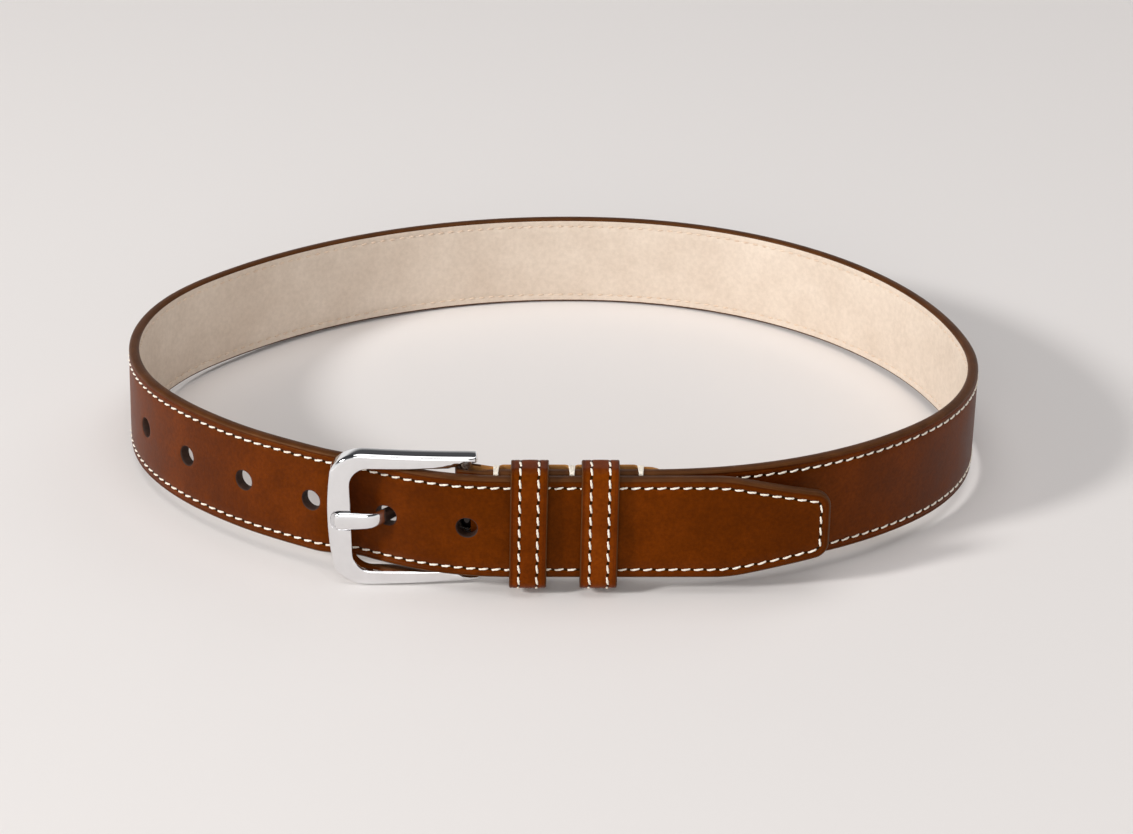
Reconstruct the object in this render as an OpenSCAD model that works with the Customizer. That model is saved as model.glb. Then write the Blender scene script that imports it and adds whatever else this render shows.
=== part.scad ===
// Gentleman's leather dress belt, buckled and standing on its edge.
// Plan view: the strap is one path of tangent straights and arcs. It starts at the tip,
// runs left through the two keepers, passes behind the buckle's front bar, goes round the
// loop and comes back under the free end to the buckle's hinge bar. There the outer leather
// folds round the bar and returns on the inside as a tab, sewn down at three rows.
// The keepers are trapped between those rows. X is right, Y is back, Z is up.

/* [Strap] */
// Width of the strap, which is its height as it stands
strap_w = 32; // [30:0.5:34]
// Thickness of the outer leather
outer_t = 1.4; // [1.2:0.1:1.6]
// Thickness of the stiffening core
core_t = 0.6; // [0.4:0.1:0.8]
// Thickness of the lining leather
lining_t = 1.2; // [1:0.1:1.4]
// Gap between the free end and the strap under it
layer_gap = 0.7; // [0.6:0.05:1]

/* [Free end] */
// End of the tip, measured from the loop's middle
tip_x = 80; // [76:0.5:84]
// Where the tip begins to narrow
taper_x = 47; // [44:0.5:50]
// Slope of each narrowing edge
taper_turn = 12; // [9:0.5:14]
// Radius of the curve into the narrowing edge
taper_r = 40; // [30:1:50]
// Radius of the tip's two corners
tip_corner_r = 5; // [4:0.5:6]
// Radius of the gentle inward curl of the tip
tip_curl_r = 165; // [150:5:200]
// Angle of that curl
tip_curl_turn = 10; // [6:0.5:10]
// Line where the free end flexes when the tip is lifted
flex_x = 26; // [25.5:0.25:28]

/* [Loop] */
// Where the front straight ends and the strap turns back towards the hip
bend_x = -12; // [-12.5:0.25:-11.5]
// Radius of the bend at the buckle
bend_r = 75; // [72:1:80]
// Angle of the bend at the buckle
bend_turn = 28; // [27:0.5:29]
// Radius of the left front
left_front_r = 113.5; // [108:0.5:120]
// Angle of the left front
left_front_turn = 25.5; // [24:0.5:27]
// Radius of the left end
left_end_r = 68; // [66:1:70]
// Angle of the left end
left_end_turn = 76; // [74:1:78]
// Radius of the back, left half
back_left_r = 158; // [155:1:161]
// Angle of the back, left half
back_left_turn = 56.5; // [55:0.5:58]
// Radius of the back, right half
back_right_r = 123; // [120:1:126]
// Angle of the back, right half
back_right_turn = 77; // [75:1:79]
// Radius of the right end
right_end_r = 67; // [65:1:69]
// Angle of the right end
right_end_turn = 55; // [53:1:57]
// Radius of the right front
right_front_r = 118; // [115:1:121]
// Angle of the right front
right_front_turn = 34; // [33:1:35]
// Radius of the last soft curve before the front straight
last_r = 140; // [120:5:160]

/* [Holes] */
// Number of punched holes
hole_count = 6; // [5:1:7]
// Distance between punched holes
hole_pitch = 24.2; // [24:0.1:24.8]
// How far use has stretched the hole that the prong is in
hole_stretch = 1.2; // [1:0.1:1.6]
// Diameter of a punched hole
hole_d = 5.8; // [5.6:0.1:6.2]
// Distance along the strap from the first bend to the hole nearest the tip
first_hole = 11.2; // [10.8:0.1:11.4]

/* [Stitching] */
// Distance from the strap's edge to the edge stitching
stitch_in = 2.9; // [2.5:0.1:3.5]
// Width of the thread
thread_w = 0.8; // [0.6:0.1:1]
// Depth of the channel that the thread lies in
channel_d = 0.4; // [0.3:0.05:0.5]
// How far the thread stands out of its channel
thread_proud = 0.1; // [0.05:0.05:0.15]

/* [Fold and rows] */
// Angle from the first bend's start to the hinge bar
fold_turn = 9.5; // [9.5:0.1:9.8]
// How far past half a turn the leather wraps the bar
extra_wrap = 9; // [8.5:0.5:10]
// Thickness of the pared-down tab behind the fold
tab_t = 0.9; // [0.7:0.05:1]
// Row of cross stitching nearest the buckle
row_1_x = -14.9; // [-15.2:0.1:-14.8]
// Row of cross stitching between the keepers
row_2_x = 6.6; // [6.4:0.1:6.6]
// Row of cross stitching beyond the keepers
row_3_x = 26.1; // [26:0.1:27]
// Width of the thread wrapped over the edges at a row
row_w = 1.6; // [1.2:0.1:1.8]
// End of the tab
tab_end_x = 36; // [34:0.5:38]
// Corner radius of the tab's end
tab_corner_r = 8; // [6:0.5:10]

/* [Keepers] */
// Width of each keeper along the strap
keeper_w = 10.7; // [10:0.1:10.7]
// Middle of the keeper nearest the buckle
keeper_1_x = -5.75; // [-6:0.25:-4]
// Middle of the other keeper
keeper_2_x = 14.35; // [14.35:0.25:16]
// Thickness of a keeper's outer leather
keeper_outer_t = 1; // [0.8:0.1:1.2]
// Thickness of a keeper's lining
keeper_lining_t = 0.8; // [0.6:0.1:0.9]
// Room between a keeper and the strap's faces
keeper_gap = 0.3; // [0.25:0.05:0.35]
// Room between a keeper and the strap's edges
keeper_edge_gap = 1.3; // [1:0.1:1.8]
// Outside corner radius of a keeper
keeper_corner_r = 3; // [2.5:0.1:3.2]
// Distance between a keeper's two rows of stitching
keeper_rows = 5.2; // [4.6:0.1:5.6]

/* [Buckle] */
// Left edge of the buckle's front bar
frame_left_x = -63.5; // [-64:0.1:-62.5]
// Right ends of the buckle's arms
frame_right_x = -20.9; // [-21:0.1:-20.5]
// Width of the front bar
front_bar_w = 6.9; // [6.2:0.1:7.2]
// Depth of the frame from front to back
frame_depth = 5; // [4.6:0.1:5]
// Radius that the frame is arched to
arch_r = 263; // [220:1:320]
// Room between the arms and the strap's edges
arm_gap = 0.5; // [0.4:0.1:0.8]
// Height of each arm beside the front bar
arm_h = 4.7; // [4.4:0.1:5]
// How much lower each arm is at its hinge end
arm_taper = 1.3; // [1:0.1:1.3]
// Outside corner radius of the frame
frame_outer_r = 9; // [8:0.5:10]
// Inside corner radius of the frame
frame_inner_r = 5; // [4:0.5:5.5]
// Diameter of the hinge bar
bar_d = 3.4; // [3.3:0.05:3.45]

/* [Prong] */
// Width of the prong
prong_w = 4.2; // [3.8:0.1:4.4]
// Thickness of the prong
prong_t = 2; // [1.8:0.1:2]
// Angle at which the prong dives through the strap
prong_dive = 42; // [40:1:44]
// Slope of the prong's shank behind the strap
prong_rise = 10; // [9.5:0.25:10.5]
// End of the prong on the front bar
prong_tip_x = -61; // [-61.5:0.1:-60]

/* [Hidden] */
$fn = 120;

// Straight stretches and bends are written [length, 0] and [radius, angle]. A pose is
// [x, y, heading]: heading 0 points along -X, and a positive angle turns it clockwise.
strap_t = outer_t + core_t + lining_t;
used_hole = 2;
flex_gap = 0.3;
mid_z = strap_w / 2;
front_y = -100;
under_y = front_y + strap_t + layer_gap;
under_bend_r = bend_r - strap_t - layer_gap;
last_turn = 360 - bend_turn - left_front_turn - left_end_turn - back_left_turn
    - back_right_turn - right_end_turn - right_front_turn;

function radius(e) = sign(e[1]) * e[0];
function direction(h) = [-cos(h), sin(h)];
function turned(p, r, h) =
    [p[0] + r * (sin(p[2]) - sin(h)), p[1] + r * (cos(p[2]) - cos(h)), h];
function after(p, e) = e[1] == 0
    ? [p[0] + e[0] * direction(p[2])[0], p[1] + e[0] * direction(p[2])[1], p[2]]
    : turned(p, radius(e), p[2] + e[1]);
function before(p, e) = e[1] == 0
    ? after(p, [-e[0], 0])
    : turned(p, radius(e), p[2] - e[1]);
function poses(p, es, i = 0) =
    i == len(es) ? [p] : concat([p], poses(after(p, es[i]), es, i + 1));
function last(list) = list[len(list) - 1];
function end_pose(p, es) = last(poses(p, es));
function length(e) = e[1] == 0 ? e[0] : e[0] * abs(e[1]) * PI / 180;
function part_of(e, s) = e[1] == 0 ? [s, 0] : [e[0], e[1] * s / length(e)];
function along(p, es, s, i = 0) = s <= length(es[i])
    ? after(p, part_of(es[i], s))
    : along(after(p, es[i]), es, s - length(es[i]), i + 1);

// The loop, from the first bend round to the same X on the layer underneath. Its two
// straight lengths are the ones that close it.
bend_pose = [bend_x, front_y, 0];
function loop_path(behind_buckle, right_straight) = [
    [bend_r, bend_turn],
    [behind_buckle, 0],
    [left_front_r, left_front_turn],
    [left_end_r, left_end_turn],
    [back_left_r, back_left_turn],
    [back_right_r, back_right_turn],
    [right_end_r, right_end_turn],
    [right_front_r, right_front_turn],
    [last_r, last_turn],
    [right_straight, 0],
];
open_end = end_pose(bend_pose, loop_path(0, 0));
behind_buckle = (under_y - open_end[1]) / sin(bend_turn);
right_straight = open_end[0] - behind_buckle * cos(bend_turn) - bend_x;
loop = loop_path(behind_buckle, right_straight);
loop_poses = poses(bend_pose, loop);

// The free end from the flex line, the loop, and the full-thickness strap behind it.
core_turn = fold_turn - 4;
flex_pose = [flex_x, front_y, 0];
strap_path = concat([[flex_x - bend_x, 0]], loop, [[under_bend_r, core_turn]]);
skive_pose = end_pose(flex_pose, strap_path);

// The hinge bar, the fold round it and the tab. The tab drops to the strap at each row
// and stands off it over each keeper.
bar_pose = after([bend_x, under_y, 0], [under_bend_r, fold_turn]);
bar_r = bar_d / 2;
bar_x = bar_pose[0] + strap_t / 2 * sin(fold_turn);
bar_y = bar_pose[1] + strap_t / 2 * cos(fold_turn);
flesh_u = strap_t / 2 - outer_t;
inner_face_y = under_y + strap_t / 2;
pinch_gap = 0.15;
pinch_y = inner_face_y + pinch_gap - flesh_u;
keeper_back_t = 1;
keeper_back_y = inner_face_y + keeper_gap - 0.05;
tab_over_keeper = keeper_back_y + keeper_back_t + 0.25;
tab_rise = tab_over_keeper - inner_face_y - pinch_gap;
tight_r = 0.8;
wide_r = tab_t + 0.4;
tab_angle = acos(1 - tab_rise / (tight_r + wide_r));
tab_run = (tight_r + wide_r) * sin(tab_angle);
row_flat = 0.3;
rise_up = [[wide_r, -tab_angle], [tight_r, tab_angle]];
drop_down = [[tight_r, tab_angle], [wide_r, -tab_angle]];
fold_path = [
    [under_bend_r, fold_turn - core_turn],
    [strap_t / 2, 180 + extra_wrap],
];
fold_end = end_pose(skive_pose, fold_path);
tab_slope = fold_turn + extra_wrap;
landing_r = 3;
landing = [landing_r, -tab_slope];
slope_length = (fold_end[1] - pinch_y - landing_r * (1 - cos(tab_slope))) / sin(tab_slope);
slope_end_x = fold_end[0] + slope_length * cos(tab_slope) + landing_r * sin(tab_slope);
raised_1 = row_2_x - row_1_x - 2 * (row_flat + tab_run);
raised_2 = row_3_x - row_2_x - 2 * (row_flat + tab_run);
tab_path = concat(
    [[slope_length, 0], landing, [row_1_x + row_flat - slope_end_x, 0]],
    rise_up, [[raised_1, 0]], drop_down, [[2 * row_flat, 0]],
    rise_up, [[raised_2, 0]], drop_down, [[tab_end_x - row_3_x + row_flat, 0]]
);

// The whole belt leans back a little, because the buckle reaches below the strap. It
// then stands on the buckle's lower arm and the strap's rear edge. The origin is at the
// middle of its footprint, at the bottom.
left_pose = loop_poses[3];
left_middle_x = left_pose[0] + left_end_r * sin(left_pose[2]);
min_x = left_middle_x - left_end_r - strap_t / 2;
right_pose = loop_poses[6];
right_middle_x = right_pose[0] + right_end_r * sin(right_pose[2]);
max_x = right_middle_x + right_end_r + strap_t / 2;
back_pose = loop_poses[4];
back_middle_y = back_pose[1] + back_left_r * cos(back_pose[2]);
max_y = back_middle_y + back_left_r + strap_t / 2;
keeper_front_y = front_y - strap_t / 2 - keeper_gap - keeper_outer_t - keeper_lining_t;
min_y = keeper_front_y - thread_proud;
frame_half_h = mid_z + arm_gap + arm_h;
frame_front_y = -96.8;
frame_mid_x = (frame_left_x + frame_right_x) / 2;
frame_drop = frame_half_h - mid_z;
lean = -atan(frame_drop / (max_y - frame_front_y - frame_depth));
lift = -max_y * sin(lean);
shift_x = -(min_x + max_x) / 2;
shift_y = -(min_y * cos(lean) + max_y * cos(lean) - strap_w * sin(lean)) / 2;

module place() {
    translate([shift_x, shift_y, lift])
        rotate([lean, 0, 0])
            children();
}

// A layer of the strap, between two depths. Depth is counted outwards from the path.
// Bends are drawn as short chords.
max_chord = 5;
max_step_angle = 12;
function steps(e) = e[1] == 0
    ? 1
    : max(ceil(length(e) / max_chord), ceil(abs(e[1]) / max_step_angle));
function stations(p, es) = let (ps = poses(p, es)) [
    for (i = [0:len(es) - 1], k = [0:steps(es[i]) - 1])
        k == 0 ? ps[i] : after(ps[i], part_of(es[i], length(es[i]) * k / steps(es[i]))),
    last(ps),
];
function beside(list, depth) = [
    for (p = list) [p[0] - depth * sin(p[2]), p[1] - depth * cos(p[2])]
];
function reversed(list) = [for (i = [len(list) - 1:-1:0]) list[i]];

module layer(list, low, high, bottom = 0, top = strap_w) {
    translate([0, 0, bottom])
        linear_extrude(top - bottom)
            polygon(concat(beside(list, high), reversed(beside(list, low))));
}

strap_stations = stations(flex_pose, strap_path);

module stitch_rows(list, low, high) {
    for (z = [stitch_in, strap_w - stitch_in])
        layer(list, low, high, z - thread_w / 2, z + thread_w / 2);
}

// Punched holes, counted from the tip: the hole in use is a little longer than it is high.
function hole_pose(i) = along(bend_pose, loop, first_hole + (i - 1) * hole_pitch);
module holes() {
    deep = 4 * strap_t;
    for (i = [1:hole_count]) {
        stretch = i == used_hole ? hole_stretch : 0;
        translate([hole_pose(i)[0], hole_pose(i)[1], mid_z])
            rotate([0, 90, -90 - hole_pose(i)[2]]) {
                for (side = [-1, 1])
                    translate([0, side * stretch / 2, 0])
                        cylinder(d = hole_d, h = deep, center = true, $fn = 48);
                if (stretch > 0)
                    cube([hole_d, stretch, deep], center = true);
            }
    }
}

// Outline of the tip, seen from the front, drawn inset from its edge
tip_start_x = flex_x + flex_gap;
taper_length = (tip_x - taper_x - taper_r * sin(taper_turn)
    - tip_corner_r * (1 - sin(taper_turn))) / cos(taper_turn);
end_length = strap_w - 2 * (taper_r * (1 - cos(taper_turn))
    + taper_length * sin(taper_turn) + tip_corner_r * cos(taper_turn));
function tip_path(inset) = [
    [taper_x - tip_start_x, 0],
    [taper_r - inset, taper_turn],
    [taper_length, 0],
    [tip_corner_r - inset, 90 - taper_turn],
    [end_length, 0],
    [tip_corner_r - inset, 90 - taper_turn],
    [taper_length, 0],
    [taper_r - inset, taper_turn],
    [taper_x - tip_start_x, 0],
];
module tip_block(inset) {
    points = stations([-tip_start_x, inset, 0], tip_path(inset));
    rotate([90, 0, 0])
        linear_extrude(-4 * front_y, center = true)
            polygon([for (q = points) [-q[0], q[1]]]);
}

// The tip, as a layer between two depths, along its gentle curl
curl_x = tip_x - tip_curl_r * sin(tip_curl_turn);
tip_pose = before([curl_x, front_y, 0], [tip_curl_r, tip_curl_turn]);
tip_stations = stations(tip_pose, [[tip_curl_r, tip_curl_turn], [curl_x - tip_start_x, 0]]);
module tip_channel(low, high) {
    intersection() {
        layer(tip_stations, low, high);
        difference() {
            tip_block(stitch_in - thread_w / 2);
            tip_block(stitch_in + thread_w / 2);
        }
    }
}

module tip_part(low, high) {
    intersection() {
        layer(tip_stations, low, high);
        tip_block(0);
    }
}

// Tab end with rounded corners
module tab_end_block() {
    reach = 2 * tab_corner_r;
    for (side = [-1, 1])
        translate([tab_end_x - tab_corner_r, inner_face_y, mid_z + side * (mid_z - tab_corner_r)])
            rotate([-90, 0, 0])
                linear_extrude(reach)
                    difference() {
                        translate([0, side > 0 ? -reach : 0])
                            square(reach);
                        circle(tab_corner_r);
                    }
}

module strap_outer() {
    folded = concat(strap_path, fold_path);
    to_fold = stations(flex_pose, folded);
    tab = stations(fold_end, tab_path);
    slot_h = prong_w + 1;
    slot_room = 0.25;
    color([0.42, 0.19, 0.04])
        place()
            difference() {
                linear_extrude(strap_w)
                    polygon(concat(
                        beside(to_fold, strap_t / 2),
                        beside(tab, flesh_u + tab_t),
                        reversed(beside(concat(to_fold, tab), flesh_u))
                    ));
                stitch_rows(strap_stations, strap_t / 2 - channel_d, strap_t / 2 + channel_d);
                holes();
                translate([bar_x, bar_y, mid_z])
                    cylinder(r = strap_t + slot_room, h = slot_h, center = true);
                tab_end_block();
                for (x = [row_1_x, row_2_x, row_3_x])
                    row_thread(x);
            }
}

module strap_core() {
    color([0.45, 0.3, 0.18])
        place()
            difference() {
                layer(strap_stations, flesh_u - core_t, flesh_u);
                holes();
            }
}

module strap_lining() {
    color([0.85, 0.75, 0.67])
        place()
            difference() {
                layer(strap_stations, -strap_t / 2, flesh_u - core_t);
                stitch_rows(strap_stations, -strap_t / 2 - channel_d, channel_d - strap_t / 2);
                holes();
            }
}

module strap_stitching_face() {
    color("ivory")
        place()
            stitch_rows(strap_stations, strap_t / 2 - channel_d, strap_t / 2 + thread_proud);
}

module strap_stitching_lining() {
    color("blanchedalmond")
        place()
            stitch_rows(strap_stations, -strap_t / 2 - thread_proud, channel_d - strap_t / 2);
}

// Thread of one cross row, wrapped round the strap and the tab. It sinks into the tab
// where the tab rises beside the row.
module row_thread(x) {
    slack = thread_proud + 0.02;
    wrap_t = 0.35;
    low_y = under_y - strap_t / 2 - slack;
    high_y = inner_face_y + pinch_gap + tab_t + slack;
    translate([x - row_w / 2, 0, 0])
        difference() {
            translate([0, low_y - wrap_t, -slack - wrap_t])
                cube([row_w, high_y - low_y + 2 * wrap_t, strap_w + 2 * (slack + wrap_t)]);
            translate([-1, low_y, -slack])
                cube([row_w + 2, high_y - low_y, strap_w + 2 * slack]);
        }
}

module row_stitch(x) {
    color("ivory")
        place()
            row_thread(x);
}

// Buckle: a U-shaped frame, seen from the front, closed by the hinge bar
bow_r = 112;
module frame_outline() {
    right_half_h = frame_half_h - arm_taper;
    inner_half_h = mid_z + arm_gap;
    inner_x = frame_left_x + front_bar_w;
    corner_x = frame_left_x + frame_outer_r;
    end_bevel = 1.2;
    difference() {
        intersection() {
            union() {
                for (side = [-1, 1])
                    translate([corner_x, side * (frame_half_h - frame_outer_r)])
                        circle(frame_outer_r);
                translate([frame_left_x, frame_outer_r - frame_half_h])
                    square([frame_outer_r, 2 * (frame_half_h - frame_outer_r)]);
                polygon([
                    [corner_x, -frame_half_h],
                    [frame_right_x - end_bevel, -right_half_h],
                    [frame_right_x, end_bevel - right_half_h],
                    [frame_right_x, right_half_h - end_bevel],
                    [frame_right_x - end_bevel, right_half_h],
                    [corner_x, frame_half_h],
                ]);
            }
            translate([frame_left_x + bow_r, 0])
                circle(bow_r, $fn = 360);
        }
        for (side = [-1, 1])
            translate([inner_x + frame_inner_r, side * (inner_half_h - frame_inner_r)])
                circle(frame_inner_r);
        translate([inner_x, frame_inner_r - inner_half_h])
            square([frame_inner_r, 2 * (inner_half_h - frame_inner_r)]);
        translate([inner_x + frame_inner_r, -inner_half_h])
            square([frame_right_x - inner_x, 2 * inner_half_h]);
    }
}

bar_seat = 1.6;
notch_d = 0.9;
module buckle_frame() {
    arch_y = frame_front_y + arch_r;
    color("silver")
        place()
            difference() {
                intersection() {
                    translate([0, 0, mid_z])
                        rotate([90, 0, 0])
                            linear_extrude(-3 * front_y, center = true)
                                frame_outline();
                    translate([frame_mid_x, arch_y, -strap_w])
                        difference() {
                            cylinder(r = arch_r, h = 3 * strap_w, $fn = 360);
                            cylinder(r = arch_r - frame_depth, h = 3 * strap_w, $fn = 360);
                        }
                    translate([frame_left_x, frame_front_y, -strap_w])
                        cube([-frame_left_x, 2 * frame_depth, 3 * strap_w]);
                }
                translate([bar_x, bar_y, -arm_gap - bar_seat])
                    cylinder(d = bar_d, h = strap_w + 2 * (arm_gap + bar_seat));
                translate([frame_left_x - 1, frame_front_y - 1, mid_z - prong_w / 2 - 0.3])
                    cube([front_bar_w + 2, notch_floor_y - frame_front_y + 1, prong_w + 0.6]);
            }
}

module buckle_bar() {
    color("darkgray")
        place()
            translate([bar_x, bar_y, -arm_gap - bar_seat])
                cylinder(d = bar_d, h = strap_w + 2 * (arm_gap + bar_seat));
}

// Prong: curled round the bar, it runs behind the free end, dives through the hole in
// use and lies across the front bar in a shallow notch.
front_bar_sag = arch_r - sqrt(pow(arch_r, 2) - pow(frame_left_x + front_bar_w - frame_mid_x, 2));
notch_floor_y = frame_front_y + front_bar_sag + notch_d;
rest_slope = 1;
prong_y = notch_floor_y - prong_t / 2 - 0.15;
dive_hole = hole_pose(used_hole);
dive_pose = [dive_hole[0], dive_hole[1], -prong_dive];
dive_in = 1.1;
heel_r = 2.8;
crown_r = 5;
heel = [heel_r, -prong_dive - prong_rise];
heel_pose = before(before(dive_pose, [dive_in, 0]), heel);
shank_length = (bar_x - bar_r - heel_pose[0]) / cos(prong_rise);
shank_pose = before(heel_pose, [shank_length, 0]);
crown_drop = crown_r * (cos(rest_slope) - cos(prong_dive));
dive_out = (dive_hole[1] - prong_y - crown_drop) / sin(prong_dive);
prong_start = concat(
    [[shank_length, 0], heel, [dive_in + dive_out, 0], [crown_r, prong_dive + rest_slope]]
);
crown_pose = end_pose(shank_pose, prong_start);
prong_path = concat(prong_start, [[(crown_pose[0] - prong_tip_x) / cos(rest_slope), 0]]);
curl_gap = 0.05;
curl_t = 1.5;
module prong() {
    color("silver")
        place()
            difference() {
                union() {
                    layer(
                        stations(shank_pose, prong_path), -prong_t / 2, prong_t / 2,
                        mid_z - prong_w / 2, mid_z + prong_w / 2
                    );
                    translate([bar_x, bar_y, mid_z])
                        cylinder(r = bar_r + curl_gap + curl_t, h = prong_w, center = true);
                }
                translate([bar_x, bar_y, mid_z])
                    cylinder(r = bar_r + curl_gap, h = 2 * prong_w, center = true);
            }
}

// Keepers: rounded loops, seen along the strap. The back wall is pared down.
keeper_half_h = mid_z + keeper_edge_gap + keeper_outer_t + keeper_lining_t;
keeper_back_end = keeper_back_y + keeper_back_t;
module keeper_outline(front_in, back_in, corner) {
    low_y = keeper_front_y + front_in;
    high_y = keeper_back_end - back_in;
    half_h = keeper_half_h - front_in;
    translate([low_y + corner, -half_h])
        square([high_y - low_y - 2 * corner, 2 * half_h]);
    translate([low_y, corner - half_h])
        square([high_y - low_y, 2 * (half_h - corner)]);
    for (y = [low_y + corner, high_y - corner], side = [-1, 1])
        translate([y, side * (half_h - corner)])
            circle(corner, $fn = 48);
}

module along_keeper(x, width) {
    translate([x - width / 2, 0, mid_z])
        rotate([90, 0, 90])
            linear_extrude(width)
                children();
}

lining_corner_r = keeper_corner_r - keeper_outer_t;
inside_corner_r = lining_corner_r - keeper_lining_t;
module keeper_layer(front_in, back_in, corner, front_in_2, back_in_2, corner_2) {
    difference() {
        keeper_outline(front_in, back_in, corner);
        keeper_outline(front_in_2, back_in_2, corner_2);
    }
}

module keeper_thread(x, proud) {
    for (side = [-1, 1])
        along_keeper(x + side * keeper_rows / 2, thread_w)
            difference() {
                keeper_outline(-proud, 0, keeper_corner_r);
                keeper_outline(channel_d, 0, keeper_corner_r - channel_d);
                translate([keeper_back_y - 1, -keeper_half_h - 1])
                    square([keeper_back_t + 2, 2 * keeper_half_h + 2]);
            }
}

staple_w = 6;
staple_t = 0.3;
staple_leg = 0.5;
module staple(x) {
    back_y = keeper_back_end;
    translate([x - staple_w / 2, back_y - staple_t, mid_z - staple_leg / 2])
        cube([staple_w, staple_t, staple_leg]);
    for (side = [-1, 1])
        translate([x + side * (staple_w - staple_leg) / 2, back_y - keeper_back_t / 2, mid_z])
            cube([staple_leg, keeper_back_t, staple_leg], center = true);
}

module keeper_outer(x) {
    color([0.5, 0.22, 0.05])
        place()
            difference() {
                along_keeper(x, keeper_w)
                    keeper_layer(
                        0, 0, keeper_corner_r,
                        keeper_outer_t, keeper_back_t / 2, lining_corner_r
                    );
                keeper_thread(x, 1);
                staple(x);
            }
}

module keeper_lining(x) {
    color([0.6, 0.35, 0.15])
        place()
            difference() {
                along_keeper(x, keeper_w)
                    keeper_layer(
                        keeper_outer_t, keeper_back_t / 2, lining_corner_r,
                        keeper_outer_t + keeper_lining_t, keeper_back_t, inside_corner_r
                    );
                staple(x);
            }
}

module keeper_stitching(x) {
    color("ivory")
        place()
            keeper_thread(x, thread_proud);
}

module keeper_staple(x) {
    color("silver")
        place()
            union()
                staple(x);
}

module tip_outer() {
    color([0.42, 0.19, 0.04])
        place()
            difference() {
                tip_part(flesh_u, strap_t / 2);
                tip_channel(strap_t / 2 - channel_d, strap_t / 2 + 1);
            }
}

module tip_core() {
    color([0.45, 0.3, 0.18])
        place()
            tip_part(flesh_u - core_t, flesh_u);
}

module tip_lining() {
    color([0.85, 0.75, 0.67])
        place()
            tip_part(-strap_t / 2, -strap_t / 2 + lining_t);
}

module tip_stitching() {
    color("ivory")
        place()
            tip_channel(strap_t / 2 - channel_d, strap_t / 2 + thread_proud);
}

strap_outer();
strap_core();
strap_lining();
strap_stitching_face();
strap_stitching_lining();
row_stitch(row_1_x);  // row_stitch_1
row_stitch(row_2_x);  // row_stitch_2
row_stitch(row_3_x);  // row_stitch_3
buckle_frame();
buckle_bar();
prong();
keeper_outer(keeper_1_x);  // keeper_1_outer
keeper_lining(keeper_1_x);  // keeper_1_lining
keeper_stitching(keeper_1_x);  // keeper_1_stitching
keeper_staple(keeper_1_x);  // keeper_1_staple
keeper_outer(keeper_2_x);  // keeper_2_outer
keeper_lining(keeper_2_x);  // keeper_2_lining
keeper_stitching(keeper_2_x);  // keeper_2_stitching
keeper_staple(keeper_2_x);  // keeper_2_staple
tip_outer();
tip_core();
tip_lining();
tip_stitching();
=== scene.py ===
import math

import bmesh
import bpy
import numpy as np
from mathutils import Matrix, Vector


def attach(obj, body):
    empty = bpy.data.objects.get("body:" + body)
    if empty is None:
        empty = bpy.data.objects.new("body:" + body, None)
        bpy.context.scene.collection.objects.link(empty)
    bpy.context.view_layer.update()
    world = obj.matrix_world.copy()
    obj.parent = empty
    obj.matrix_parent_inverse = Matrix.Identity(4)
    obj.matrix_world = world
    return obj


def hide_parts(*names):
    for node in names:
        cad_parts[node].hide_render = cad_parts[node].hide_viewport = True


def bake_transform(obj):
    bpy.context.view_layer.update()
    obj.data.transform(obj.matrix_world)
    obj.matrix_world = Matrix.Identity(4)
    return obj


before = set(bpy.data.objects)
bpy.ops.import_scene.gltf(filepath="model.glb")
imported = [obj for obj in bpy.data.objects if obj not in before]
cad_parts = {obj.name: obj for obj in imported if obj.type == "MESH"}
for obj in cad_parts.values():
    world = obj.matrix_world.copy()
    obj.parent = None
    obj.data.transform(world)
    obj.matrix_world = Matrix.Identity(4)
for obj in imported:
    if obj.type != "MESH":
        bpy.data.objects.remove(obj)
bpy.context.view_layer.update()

# ---------------------------------------------------------------- sizes, in millimetres
STRAP_W = 32.0
MID_Z = STRAP_W / 2
HALF_T = 1.6  # half of the strap's thickness
FLESH = 0.2  # depth of the outer leather's flesh side, from the strap's middle
CORE = -0.4  # depth of the lining's upper side
FRONT_Y = -100.0  # middle of the free end
UNDER_Y = -96.1  # middle of the strap that lies under the free end
SEAM_X = 15.5  # where the tip's meshes start, under keeper 2
BEND_X = -12.0  # where the free end starts to bend into the loop
TIP_X = 80.0
TAPER_X, TAPER_TURN, TAPER_R = 47.0, 12.0, 40.0  # the turn is in degrees, as all below
TIP_CORNER_R = 5.0
CURL_R, CURL_TURN = 165.0, 10.0
# the loop's bends as (radius, turn), from behind the buckle round the back
BEND = (75.0, 28.0)
LOOP_BENDS = [(113.5, 25.5), (68.0, 76.0), (158.0, 56.5), (123.0, 77.0), (67.0, 55.0), (118.0, 34.0)]
LAST_BEND_R = 140.0
UNDER_BEND_R = 71.1
CORE_TURN, FOLD_TURN, EXTRA_WRAP = 5.5, 9.5, 9.0
LINE_EASE = 7.0  # bends run into each other over this length
HOLES, USED_HOLE = 6, 1  # the hole in use is counted from 0 at the tip
HOLE_R, HOLE_PITCH, FIRST_HOLE = 2.9, 24.2, 11.2
HOLE_STRETCH = 0.25  # to each side, in the hole in use
STITCH_IN = 2.9
PITCH = 3.6
TAB_T = 0.9
TAB_END_X, TAB_CORNER_R = 36.0, 8.0
ROWS_X = (-14.9, 6.6, 26.1)
ROW_GAP = 0.15  # between the strap and the tab at a row
TAB_GAP = 1.5  # between the strap and the tab beside the rows
KEEPERS = {"keeper_1": (-5.75, 1.35), "keeper_2": (14.35, 1.0)}  # X and tilt in degrees
KEEPER_W, KEEPER_ROWS, KEEPER_PITCH, KEEPER_ROW_IN = 10.7, 5.2, 3.9, 2.75
KEEPER_FRONT, KEEPER_BACK, KEEPER_HALF_H, KEEPER_CORNER = -103.7, -93.25, 19.1, 3.0
BAR_R = 1.7
PRONG_W, PRONG_T = 4.4, 2.0


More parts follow.
